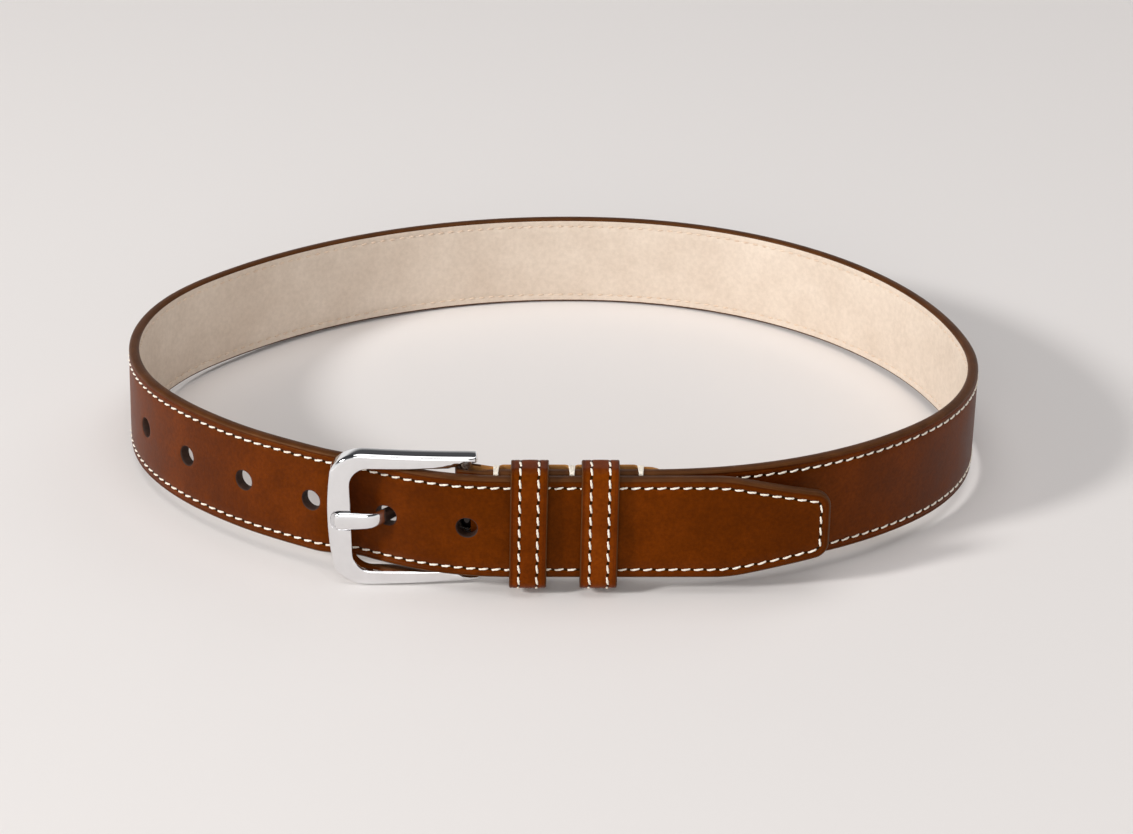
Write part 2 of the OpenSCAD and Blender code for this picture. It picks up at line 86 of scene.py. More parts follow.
# ------------------------------------------------------------------------- plan lines
def after(pose, element):
    """The pose (x, y, heading) after a straight (length, 0) or a bend (radius, angle)."""
    x, y, h = pose
    size, angle = element
    if angle == 0:
        return (x - size * math.cos(h), y + size * math.sin(h), h)
    r, end = math.copysign(size, angle), h + math.radians(angle)
    return (x + r * (math.sin(h) - math.sin(end)), y + r * (math.cos(h) - math.cos(end)), end)


def end_pose(pose, elements):
    for e in elements:
        pose = after(pose, e)
    return pose


def length_of(elements):
    return sum(a if b == 0 else a * abs(math.radians(b)) for a, b in elements)


class Track:
    """A line of tangent straights and bends, looked up by the distance along it."""

    def __init__(self, pose, elements, ease=0.0):
        s, rows = [0.0], [pose]
        for size, angle in elements:
            length = length_of([(size, angle)])
            n = max(2, math.ceil(length / 0.1))
            for k in range(1, n + 1):
                share = k / n
                part = (size * share, 0) if angle == 0 else (size, angle * share)
                rows.append(after(pose, part))
                s.append(s[-1] + length / n)
            pose = rows[-1]
        self.flare = None
        self.s, rows = np.array(s), np.array(rows)
        self.length = self.s[-1]
        if ease:
            w = np.minimum(ease, np.minimum(self.s, self.length - self.s)) + 1e-6
            step = np.diff(self.s)
            for c in range(3):
                area = np.concatenate([[0], np.cumsum((rows[1:, c] + rows[:-1, c]) / 2 * step)])
                low = np.interp(self.s - w, self.s, area)
                high = np.interp(self.s + w, self.s, area)
                inner = w > 1e-3
                rows[inner, c] = ((high - low) / (2 * w))[inner]
        self.rows = rows

    def joined(self, other):
        self.s = np.concatenate([self.s, other.s[1:] + self.length])
        self.rows = np.concatenate([self.rows, other.rows[1:]])
        self.length = self.s[-1]
        return self

    @classmethod
    def through(cls, s, rows):
        """A line through known poses at the distances s."""
        line = cls.__new__(cls)
        line.flare, line.s, line.rows, line.length = None, s, rows, s[-1]
        return line

    def points(self, s, z, d):
        """Points at distance s along the line, at height z and depth d outwards."""
        s, z, d = np.broadcast_arrays(np.asarray(s, float), z, d)
        x, y, h = (np.interp(s, self.s, self.rows[:, c]) for c in range(3))
        if self.flare:
            d = d + self.flare(s, z)
        return np.stack([x - d * np.sin(h), y - d * np.cos(h), z], axis=-1)


open_loop = [BEND, (0, 0)] + LOOP_BENDS
last_turn = 360 - BEND[1] - sum(b for a, b in LOOP_BENDS)
open_end = end_pose((BEND_X, FRONT_Y, 0.0), open_loop + [(LAST_BEND_R, last_turn)])
bend_turn = math.radians(BEND[1])
behind_buckle = (UNDER_Y - open_end[1]) / math.sin(bend_turn)
right_straight = open_end[0] - behind_buckle * math.cos(bend_turn) - BEND_X
loop = [BEND, (behind_buckle, 0)] + LOOP_BENDS + [(LAST_BEND_R, last_turn), (right_straight, 0)]
before_bend = SEAM_X - BEND_X
main_path = [(before_bend, 0)] + loop + [(UNDER_BEND_R, CORE_TURN)]
main = Track((SEAM_X, FRONT_Y, 0.0), main_path, ease=LINE_EASE)
skive_s = main.length
skive_pose = end_pose((SEAM_X, FRONT_Y, 0.0), main_path)

bar_pose = after((BEND_X, UNDER_Y, 0.0), (UNDER_BEND_R, FOLD_TURN))
BAR_X = bar_pose[0] + HALF_T * math.sin(bar_pose[2])
BAR_Y = bar_pose[1] + HALF_T * math.cos(bar_pose[2])
fold = [(UNDER_BEND_R, FOLD_TURN - CORE_TURN), (HALF_T, 180 + EXTRA_WRAP)]
fold_end = end_pose(skive_pose, fold)
inner_face_y = UNDER_Y + HALF_T
pinch_y = inner_face_y + ROW_GAP - FLESH
tab_slope = FOLD_TURN + EXTRA_WRAP
slope = math.radians(tab_slope)
landing_r, tight_r, wide_r, row_flat = 3.0, 0.8, TAB_T + 0.4, 0.3
tab_rise = TAB_GAP - ROW_GAP
tab_angle = math.degrees(math.acos(1 - tab_rise / (tight_r + wide_r)))
tab_run = (tight_r + wide_r) * math.sin(math.radians(tab_angle))
slope_length = (fold_end[1] - pinch_y - landing_r * (1 - math.cos(slope))) / math.sin(slope)
slope_end_x = fold_end[0] + slope_length * math.cos(slope) + landing_r * math.sin(slope)
rise_up = [(wide_r, -tab_angle), (tight_r, tab_angle)]
drop_down = [(tight_r, tab_angle), (wide_r, -tab_angle)]
tab = (
    [(slope_length, 0), (landing_r, -tab_slope), (ROWS_X[0] + row_flat - slope_end_x, 0)]
    + rise_up + [(ROWS_X[1] - ROWS_X[0] - 2 * (row_flat + tab_run), 0)] + drop_down
    + [(2 * row_flat, 0)]
    + rise_up + [(ROWS_X[2] - ROWS_X[1] - 2 * (row_flat + tab_run), 0)] + drop_down
    + [(TAB_END_X - ROWS_X[2] + row_flat, 0)]
)
strap_line = Track((SEAM_X, FRONT_Y, 0.0), main_path, ease=LINE_EASE)
strap_line.joined(Track(skive_pose, fold + tab))
# beside the buckle the strap's lower edge stands out further than its upper edge
FLARE_S = (0.0, 71.0, 86.0, 130.0, 185.0, 270.0, 2000.0)
FLARE_TOP = (0.0, 0.0, 0.9, -0.4, -0.2, 0.0, 0.0)
FLARE_FOOT = (0.0, 0.0, 3.6, 2.3, 1.4, 0.0, 0.0)


def strap_flare(s, z):
    """How far the strap stands out at distance s and height z."""
    k = np.clip(np.searchsorted(FLARE_S, s, side="right") - 1, 0, len(FLARE_S) - 2)
    marks = np.array(FLARE_S)
    t = np.clip((s - marks[k]) / (marks[k + 1] - marks[k]), 0, 1)
    t = t * t * (3 - 2 * t)
    top, foot = (np.array(v)[k] * (1 - t) + np.array(v)[k + 1] * t for v in (FLARE_TOP, FLARE_FOOT))
    return foot + (top - foot) * z / STRAP_W


strap_line.flare = strap_flare
fold_start_s = skive_s + length_of(fold[:1])
fold_end_s = skive_s + length_of(fold)
tab_end_s = strap_line.length

curl_x = TIP_X - CURL_R * math.sin(math.radians(CURL_TURN))
flat_len = curl_x - SEAM_X
curl_s = np.linspace(0, CURL_R * math.radians(CURL_TURN) + 2, 120)[1:]
curl_rows = [
    (curl_x + CURL_R * math.sin(a), FRONT_Y + CURL_R * (1 - math.cos(a)), -a) for a in curl_s / CURL_R
]
tip_line = Track.through(
    np.concatenate([[0.0, flat_len], flat_len + curl_s]),
    np.array([(SEAM_X, FRONT_Y, 0.0), (curl_x, FRONT_Y, 0.0)] + curl_rows),
)

# --------------------------------------------------- the whole belt leans back a little
bend_pose = (BEND_X, FRONT_Y, 0.0)
left_pose = end_pose(bend_pose, loop[:3])
back_pose = end_pose(bend_pose, loop[:4])
right_pose = end_pose(bend_pose, loop[:6])
min_x = left_pose[0] + LOOP_BENDS[1][0] * (math.sin(left_pose[2]) - 1) - HALF_T
max_x = right_pose[0] + LOOP_BENDS[4][0] * (math.sin(right_pose[2]) + 1) + HALF_T
max_y = back_pose[1] + LOOP_BENDS[2][0] * (math.cos(back_pose[2]) + 1) + HALF_T
min_y = -103.8
FRAME_LEFT, FRAME_RIGHT, FRAME_FRONT, FRAME_DEPTH, ARCH_R = -63.5, -20.9, -96.8, 5.0, 263.0
FRAME_HALF_H, ARM_TAPER, INNER_HALF_H, FRONT_BAR_W = 21.2, 1.3, 16.5, 6.9
lean = -math.atan((FRAME_HALF_H - MID_Z) / (max_y - FRAME_FRONT - FRAME_DEPTH))
lift = -max_y * math.sin(lean)
shift_x = -(min_x + max_x) / 2
shift_y = -(min_y * math.cos(lean) + max_y * math.cos(lean) - STRAP_W * math.sin(lean)) / 2
MM = 0.001
PLACE = (
    Matrix.Translation(Vector((shift_x, shift_y, lift)) * MM)
    @ Matrix.Rotation(lean, 4, "X")
    @ Matrix.Scale(MM, 4)
)
PLACE_NP = np.array(PLACE)


def placed(points):
    return np.asarray(points, float).reshape(-1, 3) @ PLACE_NP[:3, :3].T + PLACE_NP[:3, 3]


def spot(x, y, z):
    return tuple(placed([(x, y, z)])[0])


# --------------------------------------------------------------------------- materials
def new_material(name):
    m = bpy.data.materials.new(name)
    m.use_nodes = True
    nodes, links = m.node_tree.nodes, m.node_tree.links
    return m, nodes, links, nodes["Principled BSDF"]


def add(nodes, kind, **values):
    n = nodes.new(kind)
    for key, v in values.items():
        if key in n.inputs:
            n.inputs[key].default_value = v
        else:
            setattr(n, key, v)
    return n


def noise(nodes, links, vector, scale, detail=4.0, rough=0.55):
    n = add(nodes, "ShaderNodeTexNoise")
    n.inputs["Scale"].default_value = scale
    n.inputs["Detail"].default_value = detail
    n.inputs["Roughness"].default_value = rough
    links.new(vector, n.inputs["Vector"])
    return n.outputs["Fac"]


def ramp(nodes, links, fac, stops):
    n = add(nodes, "ShaderNodeValToRGB")
    while len(n.color_ramp.elements) < len(stops):
        n.color_ramp.elements.new(0.5)
    for e, (at, colour) in zip(n.color_ramp.elements, stops):
        e.position, e.color = at, (*colour, 1)
    links.new(fac, n.inputs["Fac"])
    return n.outputs["Color"]


def math_node(nodes, links, op, a, b=None, clamp=False):
    n = add(nodes, "ShaderNodeMath", operation=op, use_clamp=clamp)
    for i, v in enumerate([a, b]):
        if v is None:
            continue
        if isinstance(v, (int, float)):
            n.inputs[i].default_value = v
        else:
            links.new(v, n.inputs[i])
    return n.outputs[0]


def mix(nodes, links, fac, a, b, blend="MIX"):
    n = add(nodes, "ShaderNodeMix", data_type="RGBA", blend_type=blend)
    sockets = [n.inputs[0], n.inputs[6], n.inputs[7]]
    for s, v in zip(sockets, [fac, a, b]):
        if isinstance(v, (int, float)):
            s.default_value = v
        elif isinstance(v, tuple):
            s.default_value = (*v, 1)
        else:
            links.new(v, s)
    return n.outputs[2]


def bump(nodes, links, heights, bsdf):
    """Chains (height, distance in metres, strength) bumps into the shader's normal."""
    normal = None
    for height, distance, strength in heights:
        n = add(nodes, "ShaderNodeBump")
        n.inputs["Distance"].default_value = distance
        n.inputs["Strength"].default_value = strength
        links.new(height, n.inputs["Height"])
        if normal is not None:
            links.new(normal, n.inputs["Normal"])
        normal = n.outputs["Normal"]
    links.new(normal, bsdf.inputs["Normal"])


def stitch_coords(nodes, links):
    """The stitch number and the inset in mm, which every leather mesh carries as its UVs."""
    uv = add(nodes, "ShaderNodeUVMap", uv_map="stitch")
    split = add(nodes, "ShaderNodeSeparateXYZ")
    links.new(uv.outputs["UV"], split.inputs[0])
    return split.outputs["X"], split.outputs["Y"]


def object_coords(nodes):
    return add(nodes, "ShaderNodeTexCoord").outputs["Object"]


def linear(r, g, b):
    """A display colour, 0 to 255, as linear light."""
    def one(v):
        v /= 255
        return v / 12.92 if v <= 0.04045 else ((v + 0.055) / 1.055) ** 2.4
    return (one(r), one(g), one(b))


BURNISH = 1.6  # width of the darker border, in mm
NEEDLE_SHADE = (0.60, 0.48)  # half length and half width of the near-black painted shade at a needle hole, in mm


def leather_face(name, dark, mid, light, row_in, pitch):
    """Smooth waxed calf: fine grain, soft cloudiness, darker burnished edge, and a near-black spot of
    painted shade at each needle hole.
    """
    m, nodes, links, bsdf = new_material(name)
    where = object_coords(nodes)
    cloud = noise(nodes, links, where, 55.0, 5.0, 0.6)
    colour = ramp(nodes, links, cloud, [(0.28, dark), (0.5, mid), (0.74, light)])
    fine = noise(nodes, links, where, 900.0, 3.0, 0.6)
    specks = ramp(nodes, links, fine, [(0.32, (0.74, 0.70, 0.5)), (0.68, (1.16, 1.22, 1.3))])
    colour = mix(nodes, links, 0.75, colour, specks, "MULTIPLY")
    along, inset = stitch_coords(nodes, links)
    edge = math_node(nodes, links, "DIVIDE", inset, BURNISH, clamp=True)
    edge = ramp(nodes, links, edge, [(0.35, (0.62, 0.5, 0.42)), (1.0, (1.0, 1.0, 1.0))])
    colour = mix(nodes, links, 1.0, colour, edge, "MULTIPLY")
    # painted shade: a near-black spot at each needle hole, between the stitches
    cell = math_node(nodes, links, "PINGPONG", along, 0.5)
    du = math_node(nodes, links, "MULTIPLY", cell, pitch / NEEDLE_SHADE[0])
    dv = math_node(nodes, links, "SUBTRACT", inset, row_in)
    dv = math_node(nodes, links, "DIVIDE", dv, NEEDLE_SHADE[1])
    far = math_node(
        nodes, links, "ADD",
        math_node(nodes, links, "MULTIPLY", du, du), math_node(nodes, links, "MULTIPLY", dv, dv),
    )
    hole = ramp(nodes, links, far, [(0.6, (1, 1, 1)), (1.0, (0, 0, 0))])
    colour = mix(nodes, links, hole, colour, (0.004, 0.002, 0.001))
    links.new(colour, bsdf.inputs["Base Color"])
    rough = ramp(nodes, links, cloud, [(0.3, (0.40,) * 3), (0.7, (0.50,) * 3)])
    links.new(rough, bsdf.inputs["Roughness"])
    bsdf.inputs["Specular IOR Level"].default_value = 0.24
    bsdf.inputs["Specular Tint"].default_value = (1.0, 0.42, 0.05, 1)
    cells = add(nodes, "ShaderNodeTexVoronoi", feature="F1")
    cells.inputs["Scale"].default_value = 2300.0
    links.new(where, cells.inputs["Vector"])
    bump(nodes, links, [
        (cells.outputs["Distance"], 0.00005, 0.35),
        (noise(nodes, links, where, 320.0, 4.0), 0.00012, 0.30),
        (cloud, 0.0004, 0.12),
    ], bsdf)
    return m


def plain_leather(name, stops, scale, rough, grain, strength):
    m, nodes, links, bsdf = new_material(name)
    where = object_coords(nodes)
    colour = ramp(nodes, links, noise(nodes, links, where, scale, 5.0, 0.62), stops)
    fine = noise(nodes, links, where, scale * 14, 3.0, 0.6)
    tone = ramp(nodes, links, fine, [(0.35, (0.88, 0.87, 0.86)), (0.65, (1.0, 1.0, 1.0))])
    links.new(mix(nodes, links, 0.7, colour, tone, "MULTIPLY"), bsdf.inputs["Base Color"])
    bsdf.inputs["Roughness"].default_value = rough
    bsdf.inputs["Specular IOR Level"].default_value = 0.3
    bump(nodes, links, [
        (noise(nodes, links, where, grain, 5.0, 0.65), 0.0001, strength),
        (noise(nodes, links, where, grain / 6, 3.0), 0.0003, strength * 0.5),
    ], bsdf)
    return m


def edge_paint(name, dark, light):
    """Painted and burnished edge: faint lines run along the layers under the paint."""
    m, nodes, links, bsdf = new_material(name)
    where = object_coords(nodes)
    along, inset = stitch_coords(nodes, links)
    stretch = add(nodes, "ShaderNodeCombineXYZ")
    links.new(math_node(nodes, links, "MULTIPLY", along, 0.7), stretch.inputs[0])
    links.new(math_node(nodes, links, "MULTIPLY", inset, 5.0), stretch.inputs[1])
    lines = noise(nodes, links, stretch.outputs[0], 1.0, 4.0, 0.7)
    cloud = noise(nodes, links, where, 160.0, 4.0)
    mixed = math_node(nodes, links, "ADD",
                      math_node(nodes, links, "MULTIPLY", lines, 0.6),
                      math_node(nodes, links, "MULTIPLY", cloud, 0.4))
    links.new(ramp(nodes, links, mixed, [(0.32, dark), (0.68, light)]), bsdf.inputs["Base Color"])
    bsdf.inputs["Roughness"].default_value = 0.46
    bsdf.inputs["Specular IOR Level"].default_value = 0.22
    bsdf.inputs["Specular Tint"].default_value = (1.0, 0.6, 0.3, 1)
    bump(nodes, links, [(lines, 0.0001, 0.35), (cloud, 0.0002, 0.2)], bsdf)
    return m


def thread_material(name, stops):
    m, nodes, links, bsdf = new_material(name)
    where = object_coords(nodes)
    fibre = noise(nodes, links, where, 1400.0, 4.0, 0.7)
    tone = noise(nodes, links, where, 120.0, 2.0)
    colour = ramp(nodes, links, tone, stops)
    shade = ramp(nodes, links, fibre, [(0.3, (0.86, 0.84, 0.80)), (0.62, (1.0, 1.0, 1.0))])
    links.new(mix(nodes, links, 0.8, colour, shade, "MULTIPLY"), bsdf.inputs["Base Color"])
    bsdf.inputs["Roughness"].default_value = 0.62
    bsdf.inputs["Sheen Weight"].default_value = 0.15
    bsdf.inputs["Sheen Roughness"].default_value = 0.4
    bump(nodes, links, [(fibre, 0.00006, 0.5)], bsdf)
    return m


def polished_metal(name, colour, low, high, wear, shaded_from=None):
    """Bright plate with a faint haze. Past shaded_from, an X in metres, its colour goes near-black as
    painted shade.
    """
    m, nodes, links, bsdf = new_material(name)
    where = object_coords(nodes)
    bsdf.inputs["Metallic"].default_value = 1.0
    haze = noise(nodes, links, where, 260.0, 5.0, 0.6)
    links.new(ramp(nodes, links, haze, [(0.3, (low,) * 3), (0.75, (high,) * 3)]),
              bsdf.inputs["Roughness"])
    tint = tuple(c * 0.93 for c in colour)
    colour = ramp(nodes, links, haze, [(0.3, colour), (0.8, tint)])
    # painted shade: near-black past shaded_from
    if shaded_from is not None:
        split = add(nodes, "ShaderNodeSeparateXYZ")
        links.new(where, split.inputs[0])
        way = math_node(nodes, links, "SUBTRACT", split.outputs["X"], shaded_from)
        way = math_node(nodes, links, "MULTIPLY", way, 400.0, clamp=True)
        colour = mix(nodes, links, way, colour, (0.035, 0.03, 0.028))
    links.new(colour, bsdf.inputs["Base Color"])
    bump(nodes, links, [(noise(nodes, links, where, 90.0, 2.0), 0.0003, wear)], bsdf)
    return m


FACE = leather_face(
    "tan_calf", linear(70, 24, 0), linear(82, 31, 0), linear(98, 40, 2), STITCH_IN, PITCH
)
KEEPER_FACE = leather_face(
    "keeper_calf", linear(86, 32, 0), linear(101, 40, 1), linear(118, 51, 4),
    KEEPER_ROW_IN, KEEPER_PITCH,
)
FLESH_SIDE = plain_leather(
    "ochre_flesh", [(0.3, linear(150, 98, 44)), (0.7, linear(186, 132, 72))], 180.0, 0.85, 900.0, 0.7
)
LINING = plain_leather(
    "beige_lining", [(0.3, linear(213, 196, 179)), (0.7, linear(227, 212, 196))], 45.0, 0.62, 1300.0, 0.4
)
EDGE = edge_paint("edge_paint", linear(54, 27, 10), linear(90, 52, 24))
# painted shade: the punched holes' walls, and their rims where they dip in, are near-black
HOLE_SHADE = plain_leather(
    "punched_wall_shade", [(0.3, linear(34, 18, 10)), (0.7, linear(58, 33, 20))], 300.0, 0.7, 1200.0, 0.5
)
THREAD = thread_material("waxed_thread", [(0.3, linear(232, 222, 206)), (0.7, linear(246, 240, 228))])
LINING_THREAD = thread_material(
    "lining_thread", [(0.3, linear(214, 190, 168)), (0.7, linear(228, 208, 188))]
)
CHROME = polished_metal("polished_plate", (0.86, 0.86, 0.87), 0.035, 0.085, 0.05)
# the prong's shank, inside the strap behind the holes, is painted near-black as shade
PRONG_PLATE = polished_metal(
    "prong_plate", (0.86, 0.86, 0.87), 0.035, 0.085, 0.05, shaded_from=-0.031)
STEEL = polished_metal("drawn_steel", (0.62, 0.62, 0.62), 0.18, 0.30, 0.15)


# ------------------------------------------------------------------------ mesh building
class Shape:
    """Vertices in the belt's own frame with a (stitch, inset) pair each, and faces."""

    def __init__(self):
        self.points, self.uv, self.faces, self.kinds, self.count = [], [], [], [], 0

    def add(self, points, uv=None):
        points = np.asarray(points, float).reshape(-1, 3)
        uv = np.full((len(points), 2), 9.0) if uv is None else np.asarray(uv, float).reshape(-1, 2)
        self.points.append(points)
        self.uv.append(uv)
        first = self.count
        self.count += len(points)
        return np.arange(first, self.count)

    def face(self, indices, kind=0):
        self.faces.append([int(i) for i in indices])
        self.kinds.append(kind)

    def bridge(self, a, b, kind=0, closed=True):
        """Quads between two loops of the same length."""
        n = len(a)
        for k in range(n if closed else n - 1):
            j = (k + 1) % n
            self.face([a[k], a[j], b[j], b[k]], kind if isinstance(kind, int) else kind[k])

    def build(self, name, materials, sharp=35.0):
        points = placed(np.concatenate(self.points))
        uv = np.concatenate(self.uv)
        mesh = bpy.data.meshes.new(name)
        mesh.from_pydata([tuple(p) for p in points], [], self.faces)
        layer = mesh.uv_layers.new(name="stitch")
        loops = np.zeros(len(mesh.loops), np.int32)
        mesh.loops.foreach_get("vertex_index", loops)
        layer.data.foreach_set("uv", uv[loops].astype(np.float32).ravel())
        for m in materials:
            mesh.materials.append(m)
        mesh.polygons.foreach_set("material_index", np.array(self.kinds, np.int32))
        bm = bmesh.new()
        bm.from_mesh(mesh)
        bmesh.ops.recalc_face_normals(bm, faces=bm.faces)
        bm.to_mesh(mesh)
        bm.free()
        mesh.polygons.foreach_set("use_smooth", np.ones(len(mesh.polygons), bool))
        mesh.set_sharp_from_angle(angle=math.radians(sharp))
        obj = bpy.data.objects.new(name, mesh)
        bpy.context.scene.collection.objects.link(obj)
        return obj


EDGE_IN = 0.85
EDGE_POWER = 2.6


def edge_inset(d):
    """How far the strap's domed edge is in from its crest, at depth d."""
    return EDGE_IN * (1 - math.sqrt(max(0.0, 1 - abs(d / HALF_T) ** EDGE_POWER)))


def thin_edge_inset(d, low, high):
    """The same for the folded outer leather by itself."""
    share = abs(2 * (d - (low + high) / 2) / (high - low))
    return 0.35 * (1 - math.sqrt(max(0.0, 1 - min(1.0, share) ** EDGE_POWER)))


def smooth(t):
    t = min(1.0, max(0.0, t))
    return t * t * (3 - 2 * t)


FACE_DETAIL = [
    (1.10, 0.0), (1.28, -0.10), (1.46, 0.0), (2.25, 0.0), (2.58, -0.11), (2.9, -0.20),
    (3.22, -0.11), (3.6, 0.0), (5.4, 0.02), (8.0, 0.04),
]
LINING_DETAIL = [(1.3, 0.0), (2.4, 0.0), (2.9, -0.16), (3.4, 0.0), (5.4, 0.0), (8.0, 0.0)]
PLAIN_DETAIL = [(3.4, 0.0), (8.0, 0.0)]
PATCH = [11.0 + 1.25 * k for k in range(9)]  # heights of the fine grid round the holes
PATCH_LAST, PATCH_HALF = 8, 5.0
STATION_STEP = 1.7
EDGE_STEPS = 7
SLOT_REACH = 2.4  # the prong's slot runs on past both ends of the fold
HOLE_RIM = [(4.2, 0.0), (3.5, -0.03), (3.2, -0.09), (3.0, -0.22), (HOLE_R, -0.42)]
HOLE_PLAIN = [(HOLE_R, 0.0)]
WALL_R = 3.05  # inside this radius the rim has the wall's near-black painted shade
NO_STITCH = 9.0  # an inset at which the leather shows neither the painted shade of needle holes nor burnish


def columns(detail):
    """(height, depth change) right across one side of the strap."""
    middle = [(z, detail[-1][1]) for z in PATCH]
    return detail + middle + [(STRAP_W - v, dd) for v, dd in reversed(detail)]


def edge_depths(start, end):
    """Depths across a layer's edge, closer together near both of its sides."""
    shares = [0.5 - 0.5 * math.cos(math.pi * k / EDGE_STEPS) for k in range(1, EDGE_STEPS)]
    return [start + (end - start) * share for share in shares]


def strap_stations(end_s, hole_s):
    """Where the strap's rings lie: even steps, a fine grid at each hole, and the fold."""
    stations, marks = set(), [0.0]
    for h in hole_s:
        steps = [h + x - MID_Z for x in PATCH]
        stations.update(round(s, 4) for s in steps)
        marks += [steps[0], steps[-1]]
    marks.append(min(end_s, skive_s))
    for a, b in zip(marks[0::2], marks[1::2]):
        n = max(1, round((b - a) / STATION_STEP))
        stations.update(round(a + (b - a) * k / n, 4) for k in range(n + 1))
    if end_s > skive_s:
        s = skive_s
        for size, angle in fold + tab:
            length = length_of([(size, angle)])
            n = max(1, math.ceil(length / 2.0), math.ceil(abs(angle) / 9))
            stations.update(round(s + length * k / n, 4) for k in range(n + 1))
            s += length
        stations.update(round(tab_end_s - TAB_CORNER_R * (1 - math.cos(math.radians(a))), 4)
                        for a in range(0, 91, 10))
    stations = sorted(s for s in stations if s <= end_s + 1e-6)
    return [s for i, s in enumerate(stations) if i == 0 or s - stations[i - 1] > 0.02]


def strap_section(s, low, high, low_columns, high_columns, end_s, with_tab):
    """One ring of a layer at distance s: its points and their (stitch, inset) pairs."""
    folded, top, bottom, corner = 0.0, high, low, 0.0
    past_corner = s - (tab_end_s - TAB_CORNER_R)
    if with_tab:
        folded = smooth((s - skive_s + 1.0) / 3.0)
        top = high + (FLESH + TAB_T - high) * smooth((s - fold_end_s + 1.0) / 2.5)
        if past_corner > 0:
            corner = TAB_CORNER_R - math.sqrt(max(0.0, TAB_CORNER_R ** 2 - min(past_corner, 7.9) ** 2))
    elif low < CORE:
        # the lining is pared down where it ends under the fold
        bottom = low + (FLESH - low) * 0.85 * smooth((s - end_s + 5.0) / 5.0)

    def inset(d):
        main_in = edge_inset(max(-HALF_T, min(HALF_T, d)))
        if not with_tab:
            return main_in
        return main_in * (1 - folded) + thin_edge_inset(d, bottom, top) * folded

    top_in, bottom_in = inset(top), inset(bottom)
    rows = [(top_in, top, top_in)]
    for z, dd in high_columns:
        rows.append((z, top + dd * (1 - folded), min(z, STRAP_W - z) if folded < 0.5 else NO_STITCH))
    rows.append((STRAP_W - top_in, top, top_in))
    rows += [(STRAP_W - inset(d), d, d) for d in edge_depths(top, bottom)]
    rows.append((STRAP_W - bottom_in, bottom, bottom_in))
    rows += [(z, bottom - dd, min(z, STRAP_W - z)) for z, dd in reversed(low_columns)]
    rows.append((bottom_in, bottom, bottom_in))
    rows += [(inset(d), d, d) for d in edge_depths(bottom, top)]
    z, depth, tag = np.array(rows).T
    z = corner + z / STRAP_W * (STRAP_W - 2 * corner)
    return strap_line.points(s, z, depth), np.stack([np.full(len(tag), s / PITCH), tag], axis=1)


def hole_rim(shape, last, h, angles, stretch, depth, way, profile, kinds):
    """Rings from a hole's patch in to its wall, at distance h along the strap. kinds are
    the material numbers of the side and of the wall. Gives the innermost ring."""
    for r, sink in profile:
        rows = []
        for a in angles:
            du = r * math.cos(a)
            du += math.copysign(stretch, du) if abs(du) > 1e-6 else 0.0
            rows.append((h + du, MID_Z + r * math.sin(a), depth + way * sink))
        ring = shape.add(strap_line.points(*np.array(rows).T))
        shape.bridge(last, ring, kinds[1] if r <= WALL_R else kinds[0])
        last = ring
    return last


def strap_layer(low, high, low_detail, high_detail, end_s, kinds, with_tab=False):
    """One layer of the strap as a closed solid, from the seam under keeper 2 to end_s.
    kinds are the material numbers of the outer side, inner side, edge and hole walls."""
    outer_kind, inner_kind, edge_kind, wall_kind = kinds
    shape = Shape()
    hole_s = [before_bend + FIRST_HOLE + HOLE_PITCH * i for i in range(HOLES)]
    stations = strap_stations(end_s, hole_s)
    high_columns, low_columns = columns(high_detail), columns(low_detail)
    rings = [
        shape.add(*strap_section(s, low, high, low_columns, high_columns, end_s, with_tab))
        for s in stations
    ]
    n_high, n_low = len(high_columns) + 2, len(low_columns) + 2
    kinds_round = (
        [outer_kind] * (n_high - 1) + [edge_kind] * EDGE_STEPS
        + [inner_kind] * (n_low - 1) + [edge_kind] * EDGE_STEPS
    )
    high_patch = 1 + len(high_detail)
    low_patch = n_high + EDGE_STEPS + len(low_detail)

    cuts = []
    for h in hole_s:
        i0 = min(range(len(stations)), key=lambda i: abs(stations[i] - (h - PATCH_HALF)))
        cuts.append((i0, i0 + PATCH_LAST, 0, PATCH_LAST))
    if with_tab:
        i0 = next(i for i, s in enumerate(stations) if s >= fold_start_s - SLOT_REACH)
        i1 = next(i for i, s in enumerate(stations) if s >= fold_end_s + SLOT_REACH)
        cuts.append((i0, i1, 1, PATCH_LAST - 1))
    left_out = set()
    for i0, i1, j0, j1 in cuts:
        for i in range(i0, i1):
            for j in range(j0, j1):
                left_out.add((i, high_patch + j))
                left_out.add((i, low_patch + PATCH_LAST - j - 1))

    for i in range(len(rings) - 1):
        raw_edge = with_tab and stations[i] > fold_end_s + 2
        for k, kind in enumerate(kinds_round):
            if (i, k) in left_out:
                continue
            j = (k + 1) % len(kinds_round)
            if raw_edge and kind == edge_kind:
                kind = inner_kind
            shape.face([rings[i][k], rings[i][j], rings[i + 1][j], rings[i + 1][k]], kind)
    shape.face(rings[0], edge_kind)
    shape.face(rings[-1], edge_kind)

    for n, (i0, i1, j0, j1) in enumerate(cuts):
        walk = (
            [(i0, j) for j in range(j0, j1)] + [(i, j1) for i in range(i0, i1)]
            + [(i1, j) for j in range(j1, j0, -1)] + [(i, j0) for i in range(i1, i0, -1)]
        )
        high_loop = [rings[i][high_patch + j] for i, j in walk]
        low_loop = [rings[i][low_patch + PATCH_LAST - j] for i, j in walk]
        if n < HOLES:
            h = hole_s[n]
            angles = [math.atan2(PATCH[j] - MID_Z, stations[i] - h) for i, j in walk]
            stretch = HOLE_STRETCH if n == USED_HOLE else 0.0
            high_loop = hole_rim(
                shape, high_loop, h, angles, stretch, high + high_detail[-1][1], 1,
                HOLE_RIM if high > HALF_T - 0.01 else HOLE_PLAIN, (outer_kind, wall_kind),
            )
            low_loop = hole_rim(
                shape, low_loop, h, angles, stretch, low, -1,
                HOLE_RIM if low < 0.01 - HALF_T else HOLE_PLAIN, (inner_kind, wall_kind),
            )
        shape.bridge(high_loop, low_loop, wall_kind)
    return shape


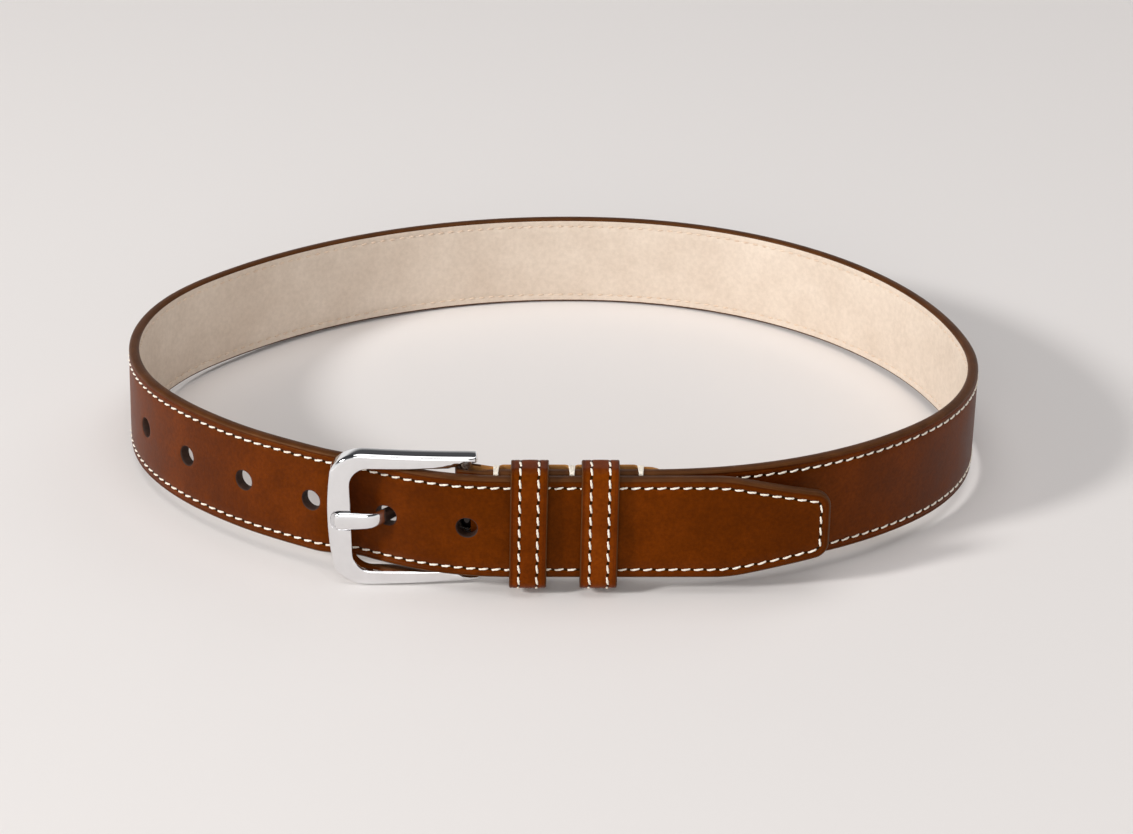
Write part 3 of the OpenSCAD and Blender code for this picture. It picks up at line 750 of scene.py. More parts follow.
strap_outer = strap_layer(
    FLESH, HALF_T, PLAIN_DETAIL, FACE_DETAIL, tab_end_s, (0, 1, 2, 3), with_tab=True
).build("strap_face_leather", [FACE, FLESH_SIDE, EDGE, HOLE_SHADE])
strap_core = strap_layer(CORE, FLESH, PLAIN_DETAIL, PLAIN_DETAIL, skive_s, (0, 0, 1, 2)).build(
    "strap_core_board", [FLESH_SIDE, EDGE, HOLE_SHADE])
strap_lining = strap_layer(-HALF_T, CORE, LINING_DETAIL, PLAIN_DETAIL, skive_s, (1, 0, 2, 3)).build(
    "strap_lining_leather", [LINING, FLESH_SIDE, EDGE, HOLE_SHADE])


# ------------------------------------------------------------------- the tip, past the seam
def tip_s(x):
    """Distance along the free end for a given X, round its curl."""
    over = np.maximum(0.0, x - curl_x)
    return np.minimum(x, curl_x) - SEAM_X + CURL_R * np.arcsin(np.minimum(1.0, over / CURL_R))


TAPER_COS, TAPER_SIN = math.cos(math.radians(TAPER_TURN)), math.sin(math.radians(TAPER_TURN))
taper_length = (TIP_X - TAPER_X - TAPER_R * TAPER_SIN - TIP_CORNER_R * (1 - TAPER_SIN)) / TAPER_COS
END_STEPS = 8


def tip_half_outline(inset):
    """Lower edge of the tip, from the seam to its end corner, in the front view."""
    x, z, h = SEAM_X, inset, 0.0
    out = [(x, z)]
    for size, angle, n in [
        (TAPER_X - SEAM_X, 0, 20), (TAPER_R - inset, TAPER_TURN, 6), (taper_length, 0, 13),
        (TIP_CORNER_R - inset, 90 - TAPER_TURN, 10),
    ]:
        x0, z0, h0 = x, z, h
        for k in range(1, n + 1):
            share = k / n
            if angle == 0:
                x, z = x0 + size * share * math.cos(h0), z0 + size * share * math.sin(h0)
            else:
                h = h0 + math.radians(angle) * share
                x = x0 + size * (math.sin(h) - math.sin(h0))
                z = z0 + size * (math.cos(h0) - math.cos(h))
            out.append((x, z))
    return out


def tip_outline(inset):
    low = tip_half_outline(inset)
    x, z = low[-1]
    end = [(x, z + (STRAP_W - 2 * z) * k / END_STEPS) for k in range(1, END_STEPS)]
    return np.array(low + end + [(a, STRAP_W - b) for a, b in reversed(low)])


row_line = tip_outline(STITCH_IN)
row_steps = np.hypot(*np.diff(row_line, axis=0).T)
row_length = np.concatenate([[0], np.cumsum(row_steps)])
tip_stitches = round(row_length[-1] / PITCH)


def fill_tip(shape, last, inset, d, kind):
    """Quads across one side of the tip, inside the ring last. Gives the rung at the seam."""
    half = (len(last) - END_STEPS + 1) // 2
    line = tip_outline(inset)
    previous, first = None, None
    for k in range(half):
        if k == half - 1:
            rung = list(last[half - 1:half + END_STEPS])
        else:
            x, z = line[k]
            zs = z + (STRAP_W - 2 * z) * np.arange(1, END_STEPS) / END_STEPS
            middle = tip_line.points(np.full(END_STEPS - 1, tip_s(x)), zs, d)
            rung = [last[k]] + list(shape.add(middle)) + [last[len(last) - 1 - k]]
        if previous is None:
            first = rung
        else:
            shape.bridge(previous, rung, kind, closed=False)
        previous = rung
    return first


def tip_layer(low, high, low_detail, high_detail, kinds):
    """One layer of the tip as a closed solid. kinds are as for strap_layer, without walls."""
    outer_kind, inner_kind, edge_kind = kinds
    shape = Shape()
    u = row_length / row_length[-1] * tip_stitches

    def ring(inset, d, tag):
        line = tip_outline(inset)
        points = tip_line.points(tip_s(line[:, 0]), line[:, 1], d)
        return shape.add(points, np.stack([u, np.full(len(u), tag)], axis=1))

    high_rings = [ring(edge_inset(high), high, edge_inset(high))]
    high_rings += [ring(v, high + dd, v) for v, dd in high_detail]
    low_rings = [ring(edge_inset(low), low, edge_inset(low))]
    low_rings += [ring(v, low - dd, v) for v, dd in low_detail]
    edge_rings = [ring(edge_inset(d), d, d) for d in edge_depths(high, low)]
    around = [high_rings[0]] + edge_rings + [low_rings[0]]
    for group, kind in [(high_rings, outer_kind), (low_rings, inner_kind), (around, edge_kind)]:
        for a, b in zip(group[:-1], group[1:]):
            shape.bridge(a, b, kind, closed=False)

    (high_in, high_dd), (low_in, low_dd) = high_detail[-1], low_detail[-1]
    top = fill_tip(shape, high_rings[-1], high_in, high + high_dd, outer_kind)
    bottom = fill_tip(shape, low_rings[-1], low_in, low - low_dd, inner_kind)
    cap = [r[0] for r in high_rings[:-1]] + top + [r[-1] for r in reversed(high_rings[:-1])]
    cap += [r[-1] for r in edge_rings]
    cap += [r[-1] for r in low_rings[:-1]] + list(reversed(bottom))
    cap += [r[0] for r in reversed(low_rings[:-1])] + [r[0] for r in reversed(edge_rings)]
    shape.face(cap, edge_kind)
    return shape


TIP_FACE_DETAIL = [row for row in FACE_DETAIL if row[0] < 4]
TIP_LINING_DETAIL = [row for row in LINING_DETAIL if row[0] < 4]
TIP_PLAIN = [(3.4, 0.0)]
tip_outer = tip_layer(FLESH, HALF_T, TIP_PLAIN, TIP_FACE_DETAIL, (0, 1, 2)).build(
    "tip_face_leather", [FACE, FLESH_SIDE, EDGE])
tip_core = tip_layer(CORE, FLESH, TIP_PLAIN, TIP_PLAIN, (0, 0, 1)).build(
    "tip_core_board", [FLESH_SIDE, EDGE])
tip_lining = tip_layer(-HALF_T, CORE, TIP_LINING_DETAIL, TIP_PLAIN, (1, 0, 2)).build(
    "tip_lining_leather", [LINING, FLESH_SIDE, EDGE])


# ----------------------------------------------------------------------------- stitches
STITCH_RINGS, STITCH_SIDES = 11, 10


def stitch_shell(length, width, height, twist=2.2):
    """One stitch of two-ply thread along the first axis, its ends diving inwards."""
    rows = []
    for i in range(STITCH_RINGS):
        t = -1 + 2 * i / (STITCH_RINGS - 1)
        t = math.copysign(abs(t) ** 0.75, t)
        swell = max(0.0, 1 - abs(t) ** 5) ** 0.5 * (1 - 0.12 * t * t)
        swell = max(swell, 0.12)
        sink = -0.75 * height * abs(t) ** 3.2
        for k in range(STITCH_SIDES):
            a = 2 * math.pi * k / STITCH_SIDES
            lobe = 1 + 0.17 * math.cos(2 * (a - twist * t * math.pi / 2))
            rows.append((
                t * length / 2, width / 2 * swell * lobe * math.cos(a),
                height / 2 * swell * lobe * math.sin(a) + sink,
            ))
    return np.array(rows)


def add_shell(shape, points):
    ids = shape.add(points).reshape(STITCH_RINGS, STITCH_SIDES)
    for i in range(STITCH_RINGS - 1):
        shape.bridge(ids[i], ids[i + 1])
    shape.face(ids[0][::-1])
    shape.face(ids[-1])


def stitch_row(shape, count, at, surface, length, width, height, base, slant, seed):
    """count stitches. at(share) gives (s, z, direction) on the surface; surface(s, z, d)
    gives points. slant is in degrees; each stitch differs a little."""
    shell = stitch_shell(length, width, height)
    rng = np.random.default_rng(seed)
    for k in range(count):
        s, z, way = at((k + 0.5) / count)
        tilt = way + math.radians(slant + rng.normal(0, 1.6))
        size = 1 + rng.normal(0, 0.025)
        a = shell[:, 0] * size
        b = shell[:, 1] * (1 + rng.normal(0, 0.03)) + rng.normal(0, 0.025)
        ps = s + a * math.cos(tilt) - b * math.sin(tilt)
        pz = z + a * math.sin(tilt) + b * math.cos(tilt)
        add_shell(shape, surface(ps, pz, base + shell[:, 2]))


def strap_rows(name, side, material, size, base, slant, seed):
    shape = Shape()
    span = skive_s - 1.2
    count = int(span / PITCH)
    for n, z in enumerate((STITCH_IN, STRAP_W - STITCH_IN)):
        stitch_row(
            shape, count, lambda share, z=z: (share * count * PITCH, z, 0.0),
            lambda s, z, d: strap_line.points(s, z, side * (HALF_T + d)),
            *size, base, slant, seed + n,
        )
    return shape.build(name, [material], sharp=60)


def tip_row(shape, side, size, base, slant, seed):
    def at(share):
        t = share * row_length[-1]
        x, z = np.interp(t, row_length, row_line[:, 0]), np.interp(t, row_length, row_line[:, 1])
        x0, z0 = (np.interp(t - 0.8, row_length, row_line[:, c]) for c in (0, 1))
        x1, z1 = (np.interp(t + 0.8, row_length, row_line[:, c]) for c in (0, 1))
        return float(tip_s(x)), float(z), math.atan2(z1 - z0, tip_s(x1) - tip_s(x0))

    stitch_row(
        shape, tip_stitches, at, lambda s, z, d: tip_line.points(s, z, side * (HALF_T + d)),
        *size, base, slant, seed,
    )


FACE_STITCH = (2.85, 0.60, 0.50)
LINING_STITCH = (2.3, 0.62, 0.5)
face_stitches = strap_rows("strap_face_stitches", 1, THREAD, FACE_STITCH, 0.06, -9.0, 11)
lining_stitches = strap_rows(
    "strap_lining_stitches", -1, LINING_THREAD, LINING_STITCH, -0.02, 7.0, 23)
tip_shape = Shape()
tip_row(tip_shape, 1, FACE_STITCH, 0.06, 9.0, 37)
tip_stitching = tip_shape.build("tip_face_stitches", [THREAD], sharp=60)
tip_back = Shape()
tip_row(tip_back, -1, LINING_STITCH, -0.02, -7.0, 41)
tip_back_stitching = tip_back.build("tip_lining_stitches", [LINING_THREAD], sharp=60)


def thread_tube(shape, path, radius, sides=8):
    """A closed round thread through a list of points."""
    path = np.array(path, float)
    tangents = np.gradient(path, axis=0)
    tangents /= np.linalg.norm(tangents, axis=1)[:, None]
    side = np.array([1.0, 0.0, 0.0])
    rings = []
    for i, (p, t) in enumerate(zip(path, tangents)):
        a = side - t * (side @ t)
        a /= np.linalg.norm(a)
        b = np.cross(t, a)
        r = radius * (0.45 if i in (0, len(path) - 1) else 1.0)
        angle = np.arange(sides) * 2 * math.pi / sides
        rings.append(shape.add(p + r * (np.outer(np.cos(angle), a) + np.outer(np.sin(angle), b))))
    for r0, r1 in zip(rings[:-1], rings[1:]):
        shape.bridge(r0, r1)
    shape.face(rings[0][::-1])
    shape.face(rings[-1])


ROW_STITCHES, STRANDS, STRAND_R = 8, 4, 0.24
STRAND_BEND, STRAND_REACH = 0.45, 3.4  # bend over an edge; how far a strand runs inwards


def strand_path(x, front_x, back_x, y0, y1, edge, up):
    """One strand of a row: up the strap's hidden face, over the edge and down the tab."""
    inward = edge - up * STRAND_REACH
    path = [(x, y0 + 0.5, inward), (front_x, y0, inward + up * 0.5)]
    path += [(front_x, y0, edge - up * v) for v in (2.0, 1.0, 0.5)]
    for a in (30, 60):
        c, s = math.cos(math.radians(a)), math.sin(math.radians(a))
        path.append((front_x, y0 + STRAND_BEND * (1 - c), edge - up * STRAND_BEND * (1 - s)))
    for share in (0.12, 0.35, 0.6, 0.85):
        path.append((
            front_x + (back_x - front_x) * share, y0 + (y1 - y0) * share,
            edge - up * 0.10 * math.sin(math.pi * share),
        ))
    for a in (60, 30):
        c, s = math.cos(math.radians(a)), math.sin(math.radians(a))
        path.append((back_x, y1 - STRAND_BEND * (1 - c), edge - up * STRAND_BEND * (1 - s)))
    path += [(back_x, y1, edge - up * v) for v in (0.6, 1.2, 2.2)]
    return path + [(x + (back_x - x) * 0.5, y1, inward + up * 0.4), (x, y1 - 0.5, inward)]


def row_piece(name, x, seed):
    """Cross stitching of one row: a line of stitches on the strap's hidden face and on the
    tab, and four strands whipped over each edge."""
    rng = np.random.default_rng(seed)
    shape = Shape()
    strap_face = UNDER_Y - HALF_T
    tab_face = inner_face_y + ROW_GAP + TAB_T
    shell = stitch_shell(2.9, 0.7, 0.5)
    for out, y in ((-1, strap_face), (1, tab_face)):
        for k in range(ROW_STITCHES):
            z = 3.2 + (STRAP_W - 6.4) * (k + 0.5) / ROW_STITCHES
            tilt = math.radians(rng.normal(0, 2.0) + 4)
            px = x + shell[:, 0] * math.sin(tilt) + shell[:, 1] * math.cos(tilt)
            pz = z + shell[:, 0] * math.cos(tilt) - shell[:, 1] * math.sin(tilt)
            add_shell(shape, np.stack([px, y + out * (0.02 + shell[:, 2]), pz], axis=1))
    y0, y1 = strap_face - STRAND_R * 0.8, tab_face + STRAND_R * 0.8
    for up in (-1, 1):
        edge = MID_Z + up * (MID_Z + STRAND_R * 0.8)
        for k in range(STRANDS):
            front_x = x + (k - 1.5) * 0.30 + rng.normal(0, 0.03)
            back_x = x + (k - 1.5) * 0.47 + rng.normal(0, 0.05)
            thread_tube(shape, strand_path(x, front_x, back_x, y0, y1, edge, up), STRAND_R)
    return shape.build(name, [THREAD], sharp=60)


row_pieces = [row_piece(f"row_{n}_thread", x, 50 + n) for n, x in enumerate(ROWS_X, 1)]


# ------------------------------------------------------------------------------ keepers
KEEPER_SIDE_STEPS = (8, 22)
CORNER_STEPS = 7
KEEPER_EDGE = 0.42
KEEPER_EDGE_STEPS = 5


def points_between(a, b, steps):
    return [(a[0] + (b[0] - a[0]) * k / steps, a[1] + (b[1] - a[1]) * k / steps) for k in range(1, steps)]


def keeper_outline(front_in, back_in, corner):
    """Closed outline seen along the strap: (y, z), clockwise from the front wall's foot."""
    y0, y1 = KEEPER_FRONT + front_in, KEEPER_BACK - back_in
    half = KEEPER_HALF_H - front_in
    corners = [
        (y0 + corner, corner - half, 270), (y0 + corner, half - corner, 180),
        (y1 - corner, half - corner, 90), (y1 - corner, corner - half, 0),
    ]
    out = []
    for n, (cy, cz, start) in enumerate(corners):
        arc = [math.radians(start - 90 * k / CORNER_STEPS) for k in range(CORNER_STEPS + 1)]
        turn = [(cy + corner * math.cos(a), cz + corner * math.sin(a)) for a in arc]
        if out:
            out += points_between(out[-1], turn[0], KEEPER_SIDE_STEPS[n % 2])
        out += turn
    return np.array(out + points_between(out[-1], out[0], KEEPER_SIDE_STEPS[0]))


def bulged(points, tilt):
    """The front wall swells softly, and the keeper stands a little off square on the strap."""
    y, z = points[..., 1], points[..., 2]
    front = np.clip((-98.0 - y) / 4.5, 0, 1)
    share = np.clip(1 - (np.abs(z) / KEEPER_HALF_H) ** 2.2, 0, 1)
    points = points.copy()
    points[..., 1] = y - 0.42 * front * share
    points[..., 2] = z + MID_Z
    points[..., 0] += z * math.tan(math.radians(tilt))
    return points


def front_middle(line, run):
    """Distance along the outline to the middle of the front wall."""
    front = np.where(line[:, 0] < line[:, 0].min() + 0.01)[0]
    front = front[np.argsort(line[front, 1])]
    return float(np.interp(0.0, line[front, 1], run[front]))


def keeper_profile(detail, kinds):
    """Once round the leather's cut: (place across, share of the way in, rise, inset) for
    each ring, and the material number of the strip that follows it."""
    outer_kind, inner_kind, edge_kind = kinds
    across = [(KEEPER_EDGE, 0.0)] + detail
    across += [(KEEPER_W - v, dd) for v, dd in reversed(across)]
    profile = [(v, 0.0, dd, min(v, KEEPER_W - v)) for v, dd in across]
    strips = [outer_kind] * (len(across) - 1) + [edge_kind]
    turns = [math.pi * k / KEEPER_EDGE_STEPS for k in range(1, KEEPER_EDGE_STEPS)]
    for a in turns:
        share = 0.5 - 0.5 * math.cos(a)
        profile.append((KEEPER_W - KEEPER_EDGE * (1 - math.sin(a) ** 0.8), share, 0.0, share))
    profile += [(v, 1.0, 0.0, NO_STITCH) for v in (KEEPER_W - KEEPER_EDGE, KEEPER_W / 2, KEEPER_EDGE)]
    strips += [edge_kind] * len(turns) + [inner_kind, inner_kind, edge_kind]
    for a in turns:
        share = 0.5 + 0.5 * math.cos(a)
        profile.append((KEEPER_EDGE * (1 - math.sin(a) ** 0.8), share, 0.0, share))
    return profile, strips + [edge_kind] * len(turns)


def keeper_layer(x, tilt, outer, inner, detail, kinds):
    """A closed loop of leather between two outlines. outer and inner are (front, back,
    corner) insets. detail is across the width on the outer side."""
    shape = Shape()
    outer_line, inner_line = keeper_outline(*outer), keeper_outline(*inner)
    # both lines start in the middle of the back wall, out of sight
    n = len(outer_line)
    start = int(np.argmin(np.abs(outer_line[:, 1]) + 9 * (outer_line[:, 0] < KEEPER_BACK - 0.6)))
    outer_line, inner_line = np.roll(outer_line, -start, axis=0), np.roll(inner_line, -start, axis=0)
    steps = np.hypot(*np.diff(outer_line, axis=0).T)
    run = np.concatenate([[0], np.cumsum(steps)])
    u = (run - front_middle(outer_line, run)) / KEEPER_PITCH + 0.5
    on_back = outer_line[:, 0] > KEEPER_BACK - 2.0
    profile, strips = keeper_profile(detail, kinds)
    rings = []
    for v, share, dd, tag in profile:
        line = outer_line + (inner_line - outer_line) * share
        if dd:
            inward = inner_line - outer_line
            inward /= np.linalg.norm(inward, axis=1)[:, None]
            line = line - inward * dd
        points = np.stack([np.full(n, x - KEEPER_W / 2 + v), line[:, 0], line[:, 1]], axis=1)
        uv = np.stack([u, np.where(on_back, NO_STITCH, tag)], axis=1)
        rings.append(shape.add(bulged(points, tilt), uv))
    for k, kind in enumerate(strips):
        shape.bridge(rings[k], rings[(k + 1) % len(rings)], kind)
    return shape


# insets (front, back, corner radius) of the leather's and the lining's faces
KEEPER_OUTSIDE = (0.0, 0.0, KEEPER_CORNER)
KEEPER_BETWEEN = (1.0, 0.5, 2.0)
KEEPER_INSIDE = (1.8, 1.0, 1.2)
KEEPER_DETAIL = [
    (0.75, 0.0), (0.95, -0.07), (1.15, 0.0), (2.2, 0.02), (2.5, -0.06), (2.75, -0.14),
    (3.0, -0.06), (3.35, 0.04), (5.35, 0.08),
]


def keeper_stitches(name, x, lean_by):
    """Two rows over the front wall and the two edge walls, not on the back wall."""
    line = keeper_outline(*KEEPER_OUTSIDE)
    line = np.vstack([line, line[:1]])
    s = np.concatenate([[0], np.cumsum(np.hypot(*np.diff(line, axis=0).T))])
    total = s[-1]
    shape = Shape()
    shell = stitch_shell(3.05, 0.64, 0.50)
    rng = np.random.default_rng(70 + int(x))
    tangents = np.gradient(line, axis=0)
    tangents /= np.linalg.norm(tangents, axis=1)[:, None]
    for side in (-1, 1):
        for k in range(-9, 10):
            t0 = front_middle(line, s) + k * KEEPER_PITCH
            here = (t0 + shell[:, 0]) % total
            y, z = (np.interp(here, s, line[:, c]) for c in (0, 1))
            ty, tz = (np.interp(here, s, tangents[:, c]) for c in (0, 1))
            size = np.hypot(ty, tz)
            ny, nz = -tz / size, ty / size
            centre_y = np.interp(t0 % total, s, line[:, 0])
            if centre_y > KEEPER_BACK - 2.6:
                continue
            tilt = math.radians(-8 + rng.normal(0, 1.5))
            px = x + side * KEEPER_ROWS / 2 + shell[:, 1] + shell[:, 0] * math.sin(tilt)
            out = 0.06 + shell[:, 2]
            points = np.stack([px, y + ny * out, z + nz * out], axis=1)
            add_shell(shape, bulged(points, lean_by))
    return shape.build(name, [THREAD], sharp=60)


for body, (x, tilt) in KEEPERS.items():
    outer = keeper_layer(
        x, tilt, KEEPER_OUTSIDE, KEEPER_BETWEEN, KEEPER_DETAIL, (0, 1, 2)
    ).build(f"{body}_leather", [KEEPER_FACE, FLESH_SIDE, EDGE])
    inner = keeper_layer(
        x, tilt, KEEPER_BETWEEN, KEEPER_INSIDE, [(KEEPER_W / 2, 0.0)], (0, 1, 2)
    ).build(f"{body}_lining_leather", [FLESH_SIDE, FLESH_SIDE, EDGE])
    thread = keeper_stitches(f"{body}_thread", x, tilt)
    for obj, node, slot in [
        (outer, f"{body}_outer", "keeper_leather"), (inner, f"{body}_lining", "keeper_lining"),
        (thread, f"{body}_stitching", "thread"),
    ]:
        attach(obj, body)
        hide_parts(node)


# -------------------------------------------------------------------------------- buckle
FRAME_OUTER_R, FRAME_INNER_R, BOW_R = 10.6, 5.6, 96.0
ARM_STEPS, FRAME_CORNER_STEPS, BAR_STEPS = 16, 14, 26


def frame_stations():
    """Matching points on the frame's outer and inner outline, in the front view, from the
    upper arm's end round the front bar to the lower arm's end."""
    ro, ri = FRAME_OUTER_R, FRAME_INNER_R
    inner_x = FRAME_LEFT + FRONT_BAR_W
    co, ci = FRAME_LEFT + ro, inner_x + ri
    top_o, top_i = FRAME_HALF_H - ro, INNER_HALF_H - ri
    end_half = FRAME_HALF_H - ARM_TAPER
    outer, inner = [], []
    for k in range(ARM_STEPS):
        t = k / ARM_STEPS
        outer.append((FRAME_RIGHT + (co - FRAME_RIGHT) * t, end_half + (FRAME_HALF_H - end_half) * t))
        inner.append((FRAME_RIGHT + (ci - FRAME_RIGHT) * t, INNER_HALF_H))
    for k in range(FRAME_CORNER_STEPS):
        a = math.radians(90 + 90 * k / FRAME_CORNER_STEPS)
        outer.append((co + ro * math.cos(a), top_o + ro * math.sin(a)))
        inner.append((ci + ri * math.cos(a), top_i + ri * math.sin(a)))
    bar = [1 - 2 * k / BAR_STEPS for k in range(BAR_STEPS + 1)]
    outer += [(FRAME_LEFT, top_o * t) for t in bar] + [(x, -z) for x, z in reversed(outer)]
    inner += [(inner_x, top_i * t) for t in bar] + [(x, -z) for x, z in reversed(inner)]
    # the front bar's outer edge is bowed
    outer = [(max(x, FRAME_LEFT + BOW_R - math.sqrt(BOW_R ** 2 - z * z)), z) for x, z in outer]
    return np.array(outer), np.array(inner)


def rounded_section(width, depth, radii, cut=(0.0, 0.0), steps=6):
    """Points (a across from the outer side, b back from the front) of a rounded box.
    radii: front outer, front inner, back inner, back outer. cut is how far a flat facet
    takes the front inner corner away, across and back."""
    limit = 0.48 * min(width, depth)
    fo, fi, bi, bo = (min(r, limit) for r in radii)
    corners = [
        (fo, fo, fo, 180), (width - fi, fi, fi, 270), (width - bi, depth - bi, bi, 0),
        (bo, depth - bo, bo, 90),
    ]
    out = []
    for n, (cx, cy, r, start) in enumerate(corners):
        for k in range(steps + 1):
            share = k / steps
            a = math.radians(start + 90 * share)
            point = (cx + r * math.cos(a), cy + r * math.sin(a))
            if n == 1:
                lean_in = 0.5 - 0.5 * math.cos(math.pi * share)
                flat = (width - cut[0] * (1 - lean_in), cut[1] * lean_in)
                weight = min(1.0, cut[0] / 1.2)
                point = tuple(p * (1 - weight) + q * weight for p, q in zip(point, flat))
            out.append(point)
    return out


frame_mid_x = (FRAME_LEFT + FRAME_RIGHT) / 2
NOTCH_HALF, NOTCH_DEPTH = 3.5, 1.05


def arch(x):
    """How far back the frame's front is at X."""
    return ARCH_R - np.sqrt(ARCH_R ** 2 - (x - frame_mid_x) ** 2)


def frame_shape():
    shape = Shape()
    outer, inner = frame_stations()
    rings = []
    for (ox, oz), (ix, iz) in zip(outer, inner):
        width = math.hypot(ix - ox, iz - oz)
        near_end = smooth((ix + 30.0) / 8.6)
        facet = (3.0 * near_end, 3.7 * near_end)
        section = rounded_section(width, FRAME_DEPTH, (1.15, 0.6, 0.5, 0.6), facet)
        rows = []
        for a, b in section:
            share = a / width
            x, z = ox + (ix - ox) * share, oz + (iz - oz) * share
            crown = -0.10 * math.sin(math.pi * share) if b < 1 else 0.0
            rows.append((x, FRAME_FRONT + arch(x) + b + crown, z + MID_Z))
        rings.append(shape.add(rows))
    for a, b in zip(rings[:-1], rings[1:]):
        shape.bridge(a, b)
    for ring, way in ((rings[0], 1), (rings[-1], -1)):
        base = np.concatenate(shape.points)[ring]
        centre = base.mean(0)
        last = ring
        for grow, shrink in ((0.35, 0.93), (0.6, 0.80), (0.72, 0.55)):
            pts = centre + (base - centre) * shrink
            pts[:, 0] += grow
            new = shape.add(pts)
            shape.bridge(last, new)
            last = new
        shape.face(last if way > 0 else last[::-1])
    return shape


def solid_between(rows):
    """A closed lofted solid through rings of equal length."""
    shape = Shape()
    rings = [shape.add(r) for r in rows]
    for a, b in zip(rings[:-1], rings[1:]):
        shape.bridge(a, b)
    shape.face(rings[0][::-1])
    shape.face(rings[-1])
    return shape


def boolean(target, tool, operation):
    mod = target.modifiers.new("cut", "BOOLEAN")
    mod.object, mod.operation, mod.solver = tool, operation, "EXACT"
    dg = bpy.context.evaluated_depsgraph_get()
    mesh = bpy.data.meshes.new_from_object(target.evaluated_get(dg))
    target.modifiers.clear()
    old = target.data
    target.data = mesh
    bpy.data.meshes.remove(old)
    bpy.data.objects.remove(tool)
    mesh.polygons.foreach_set("use_smooth", np.ones(len(mesh.polygons), bool))
    mesh.set_sharp_from_angle(angle=math.radians(35))
    return target


def squared(v, power):
    """A sine or cosine bent towards a square's corner."""
    return math.copysign(abs(v) ** power, v)


def seat_shape():
    """The prong's seat: a trough across the front bar with a rounded end."""
    front_bar_in = FRAME_LEFT + FRONT_BAR_W
    seat_y = FRAME_FRONT + arch(front_bar_in)
    rows = []
    for x, half, deep in [
        (-62.7, 1.3, 0.1), (-62.5, 2.1, 0.45), (-62.1, 2.8, 0.8), (-61.4, 3.25, NOTCH_DEPTH),
        (-60.0, NOTCH_HALF, NOTCH_DEPTH), (front_bar_in + 1.5, NOTCH_HALF, NOTCH_DEPTH + 0.05),
    ]:
        turns = [2 * math.pi * k / 24 for k in range(24)]
        rows.append([
            (x, seat_y - 1.2 + (deep + 1.2) * squared(math.sin(a), 0.7),
             MID_Z + half * squared(math.cos(a), 0.7)) for a in turns
        ])
    return solid_between(rows)


buckle = frame_shape().build("buckle_frame_plated", [CHROME], sharp=50)
boolean(buckle, seat_shape().build("seat_tool", [CHROME]), "DIFFERENCE")

# --------------------------------------------------------------------------------- prong
hole_x, hole_y, _ = main.points(before_bend + FIRST_HOLE + HOLE_PITCH * USED_HOLE, 0.0, 0.0)
DIVE, RISE, REST_SLOPE = 50.0, 10.0, 1.0  # degrees: through the hole, shank, on the bar
HEEL_R, CROWN_R, DIVE_IN = 2.6, 4.6, 1.1
PRONG_Y = -96.6555  # middle of the prong where it lies on the front bar
PRONG_TIP_X = -61.3
dive_h = -math.radians(DIVE)


def back_by(pose, element):
    """The pose from which after() with this element gives the pose."""
    x, y, h = pose
    size, angle = element
    if angle == 0:
        return after(pose, (-size, 0))
    r, end = math.copysign(size, angle), h - math.radians(angle)
    return (x + r * (math.sin(h) - math.sin(end)), y + r * (math.cos(h) - math.cos(end)), end)


heel = (HEEL_R, -DIVE - RISE)
heel_pose = back_by(after((hole_x, hole_y, dive_h), (-DIVE_IN, 0)), heel)
shank = (BAR_X - BAR_R - heel_pose[0]) / math.cos(math.radians(RISE))
shank_pose = after(heel_pose, (-shank, 0))
crown_drop = CROWN_R * (math.cos(math.radians(REST_SLOPE)) - math.cos(math.radians(DIVE)))
dive_out = (hole_y - PRONG_Y - crown_drop) / math.sin(math.radians(DIVE))
prong_start = [(shank, 0), heel, (DIVE_IN + dive_out, 0), (CROWN_R, DIVE + REST_SLOPE)]
crown_x = end_pose(shank_pose, prong_start)[0]
prong_path = prong_start + [((crown_x - PRONG_TIP_X) / math.cos(math.radians(REST_SLOPE)), 0)]
prong_line = Track(shank_pose, prong_path, ease=1.6)


def prong_shape():
    """The prong from its eye to its tip: it widens towards the tip, which is rounded off."""
    rows = []
    turns = [2 * math.pi * k / 28 for k in range(28)]
    total = prong_line.length
    s_values = list(np.linspace(0, shank - 1, 10)) + list(np.linspace(shank - 0.5, total - 2.2, 40))
    s_values += [total - v for v in (1.8, 1.4, 1.0, 0.65, 0.38, 0.18, 0.05, 0.0)]
    for s in s_values:
        left = total - s
        round_off = math.sqrt(max(0.0, 1 - max(0.0, 1 - left / 1.7) ** 2.4))
        round_off = max(round_off, 0.25)
        widen = 1 + 0.22 * smooth((s - total + 14) / 9)
        w = PRONG_W / 2 * widen * (0.45 + 0.55 * round_off)
        t = PRONG_T / 2 * (0.35 + 0.65 * round_off)
        ring = np.array([
            (s, MID_Z + w * squared(math.cos(a), 0.82),
             t * squared(math.sin(a), 0.92) - (PRONG_T / 2 - t) * 0.5) for a in turns
        ])
        rows.append(prong_line.points(ring[:, 0], ring[:, 1], ring[:, 2]))
    return rows


prong = solid_between(prong_shape()).build("prong_polished", [PRONG_PLATE], sharp=50)
EYE_IN, EYE_OUT, EYE_STEPS = BAR_R + 0.05, BAR_R + 1.55, 48


def eye_shape():
    """The ring at the prong's root, round the hinge bar."""
    profile = [
        (EYE_IN, -PRONG_W / 2 + 0.2), (EYE_IN + 0.15, -PRONG_W / 2), (EYE_OUT - 0.5, -PRONG_W / 2),
        (EYE_OUT - 0.15, -PRONG_W / 2 + 0.15), (EYE_OUT, -PRONG_W / 2 + 0.5),
    ]
    profile += [(r, -v) for r, v in reversed(profile)]
    shape = Shape()
    rings = []
    for k in range(EYE_STEPS):
        a = 2 * math.pi * k / EYE_STEPS
        rings.append(shape.add([
            (BAR_X + r * math.cos(a), BAR_Y + r * math.sin(a), MID_Z + v) for r, v in profile
        ]))
    for k in range(EYE_STEPS):
        shape.bridge(rings[k], rings[(k + 1) % EYE_STEPS])
    return shape


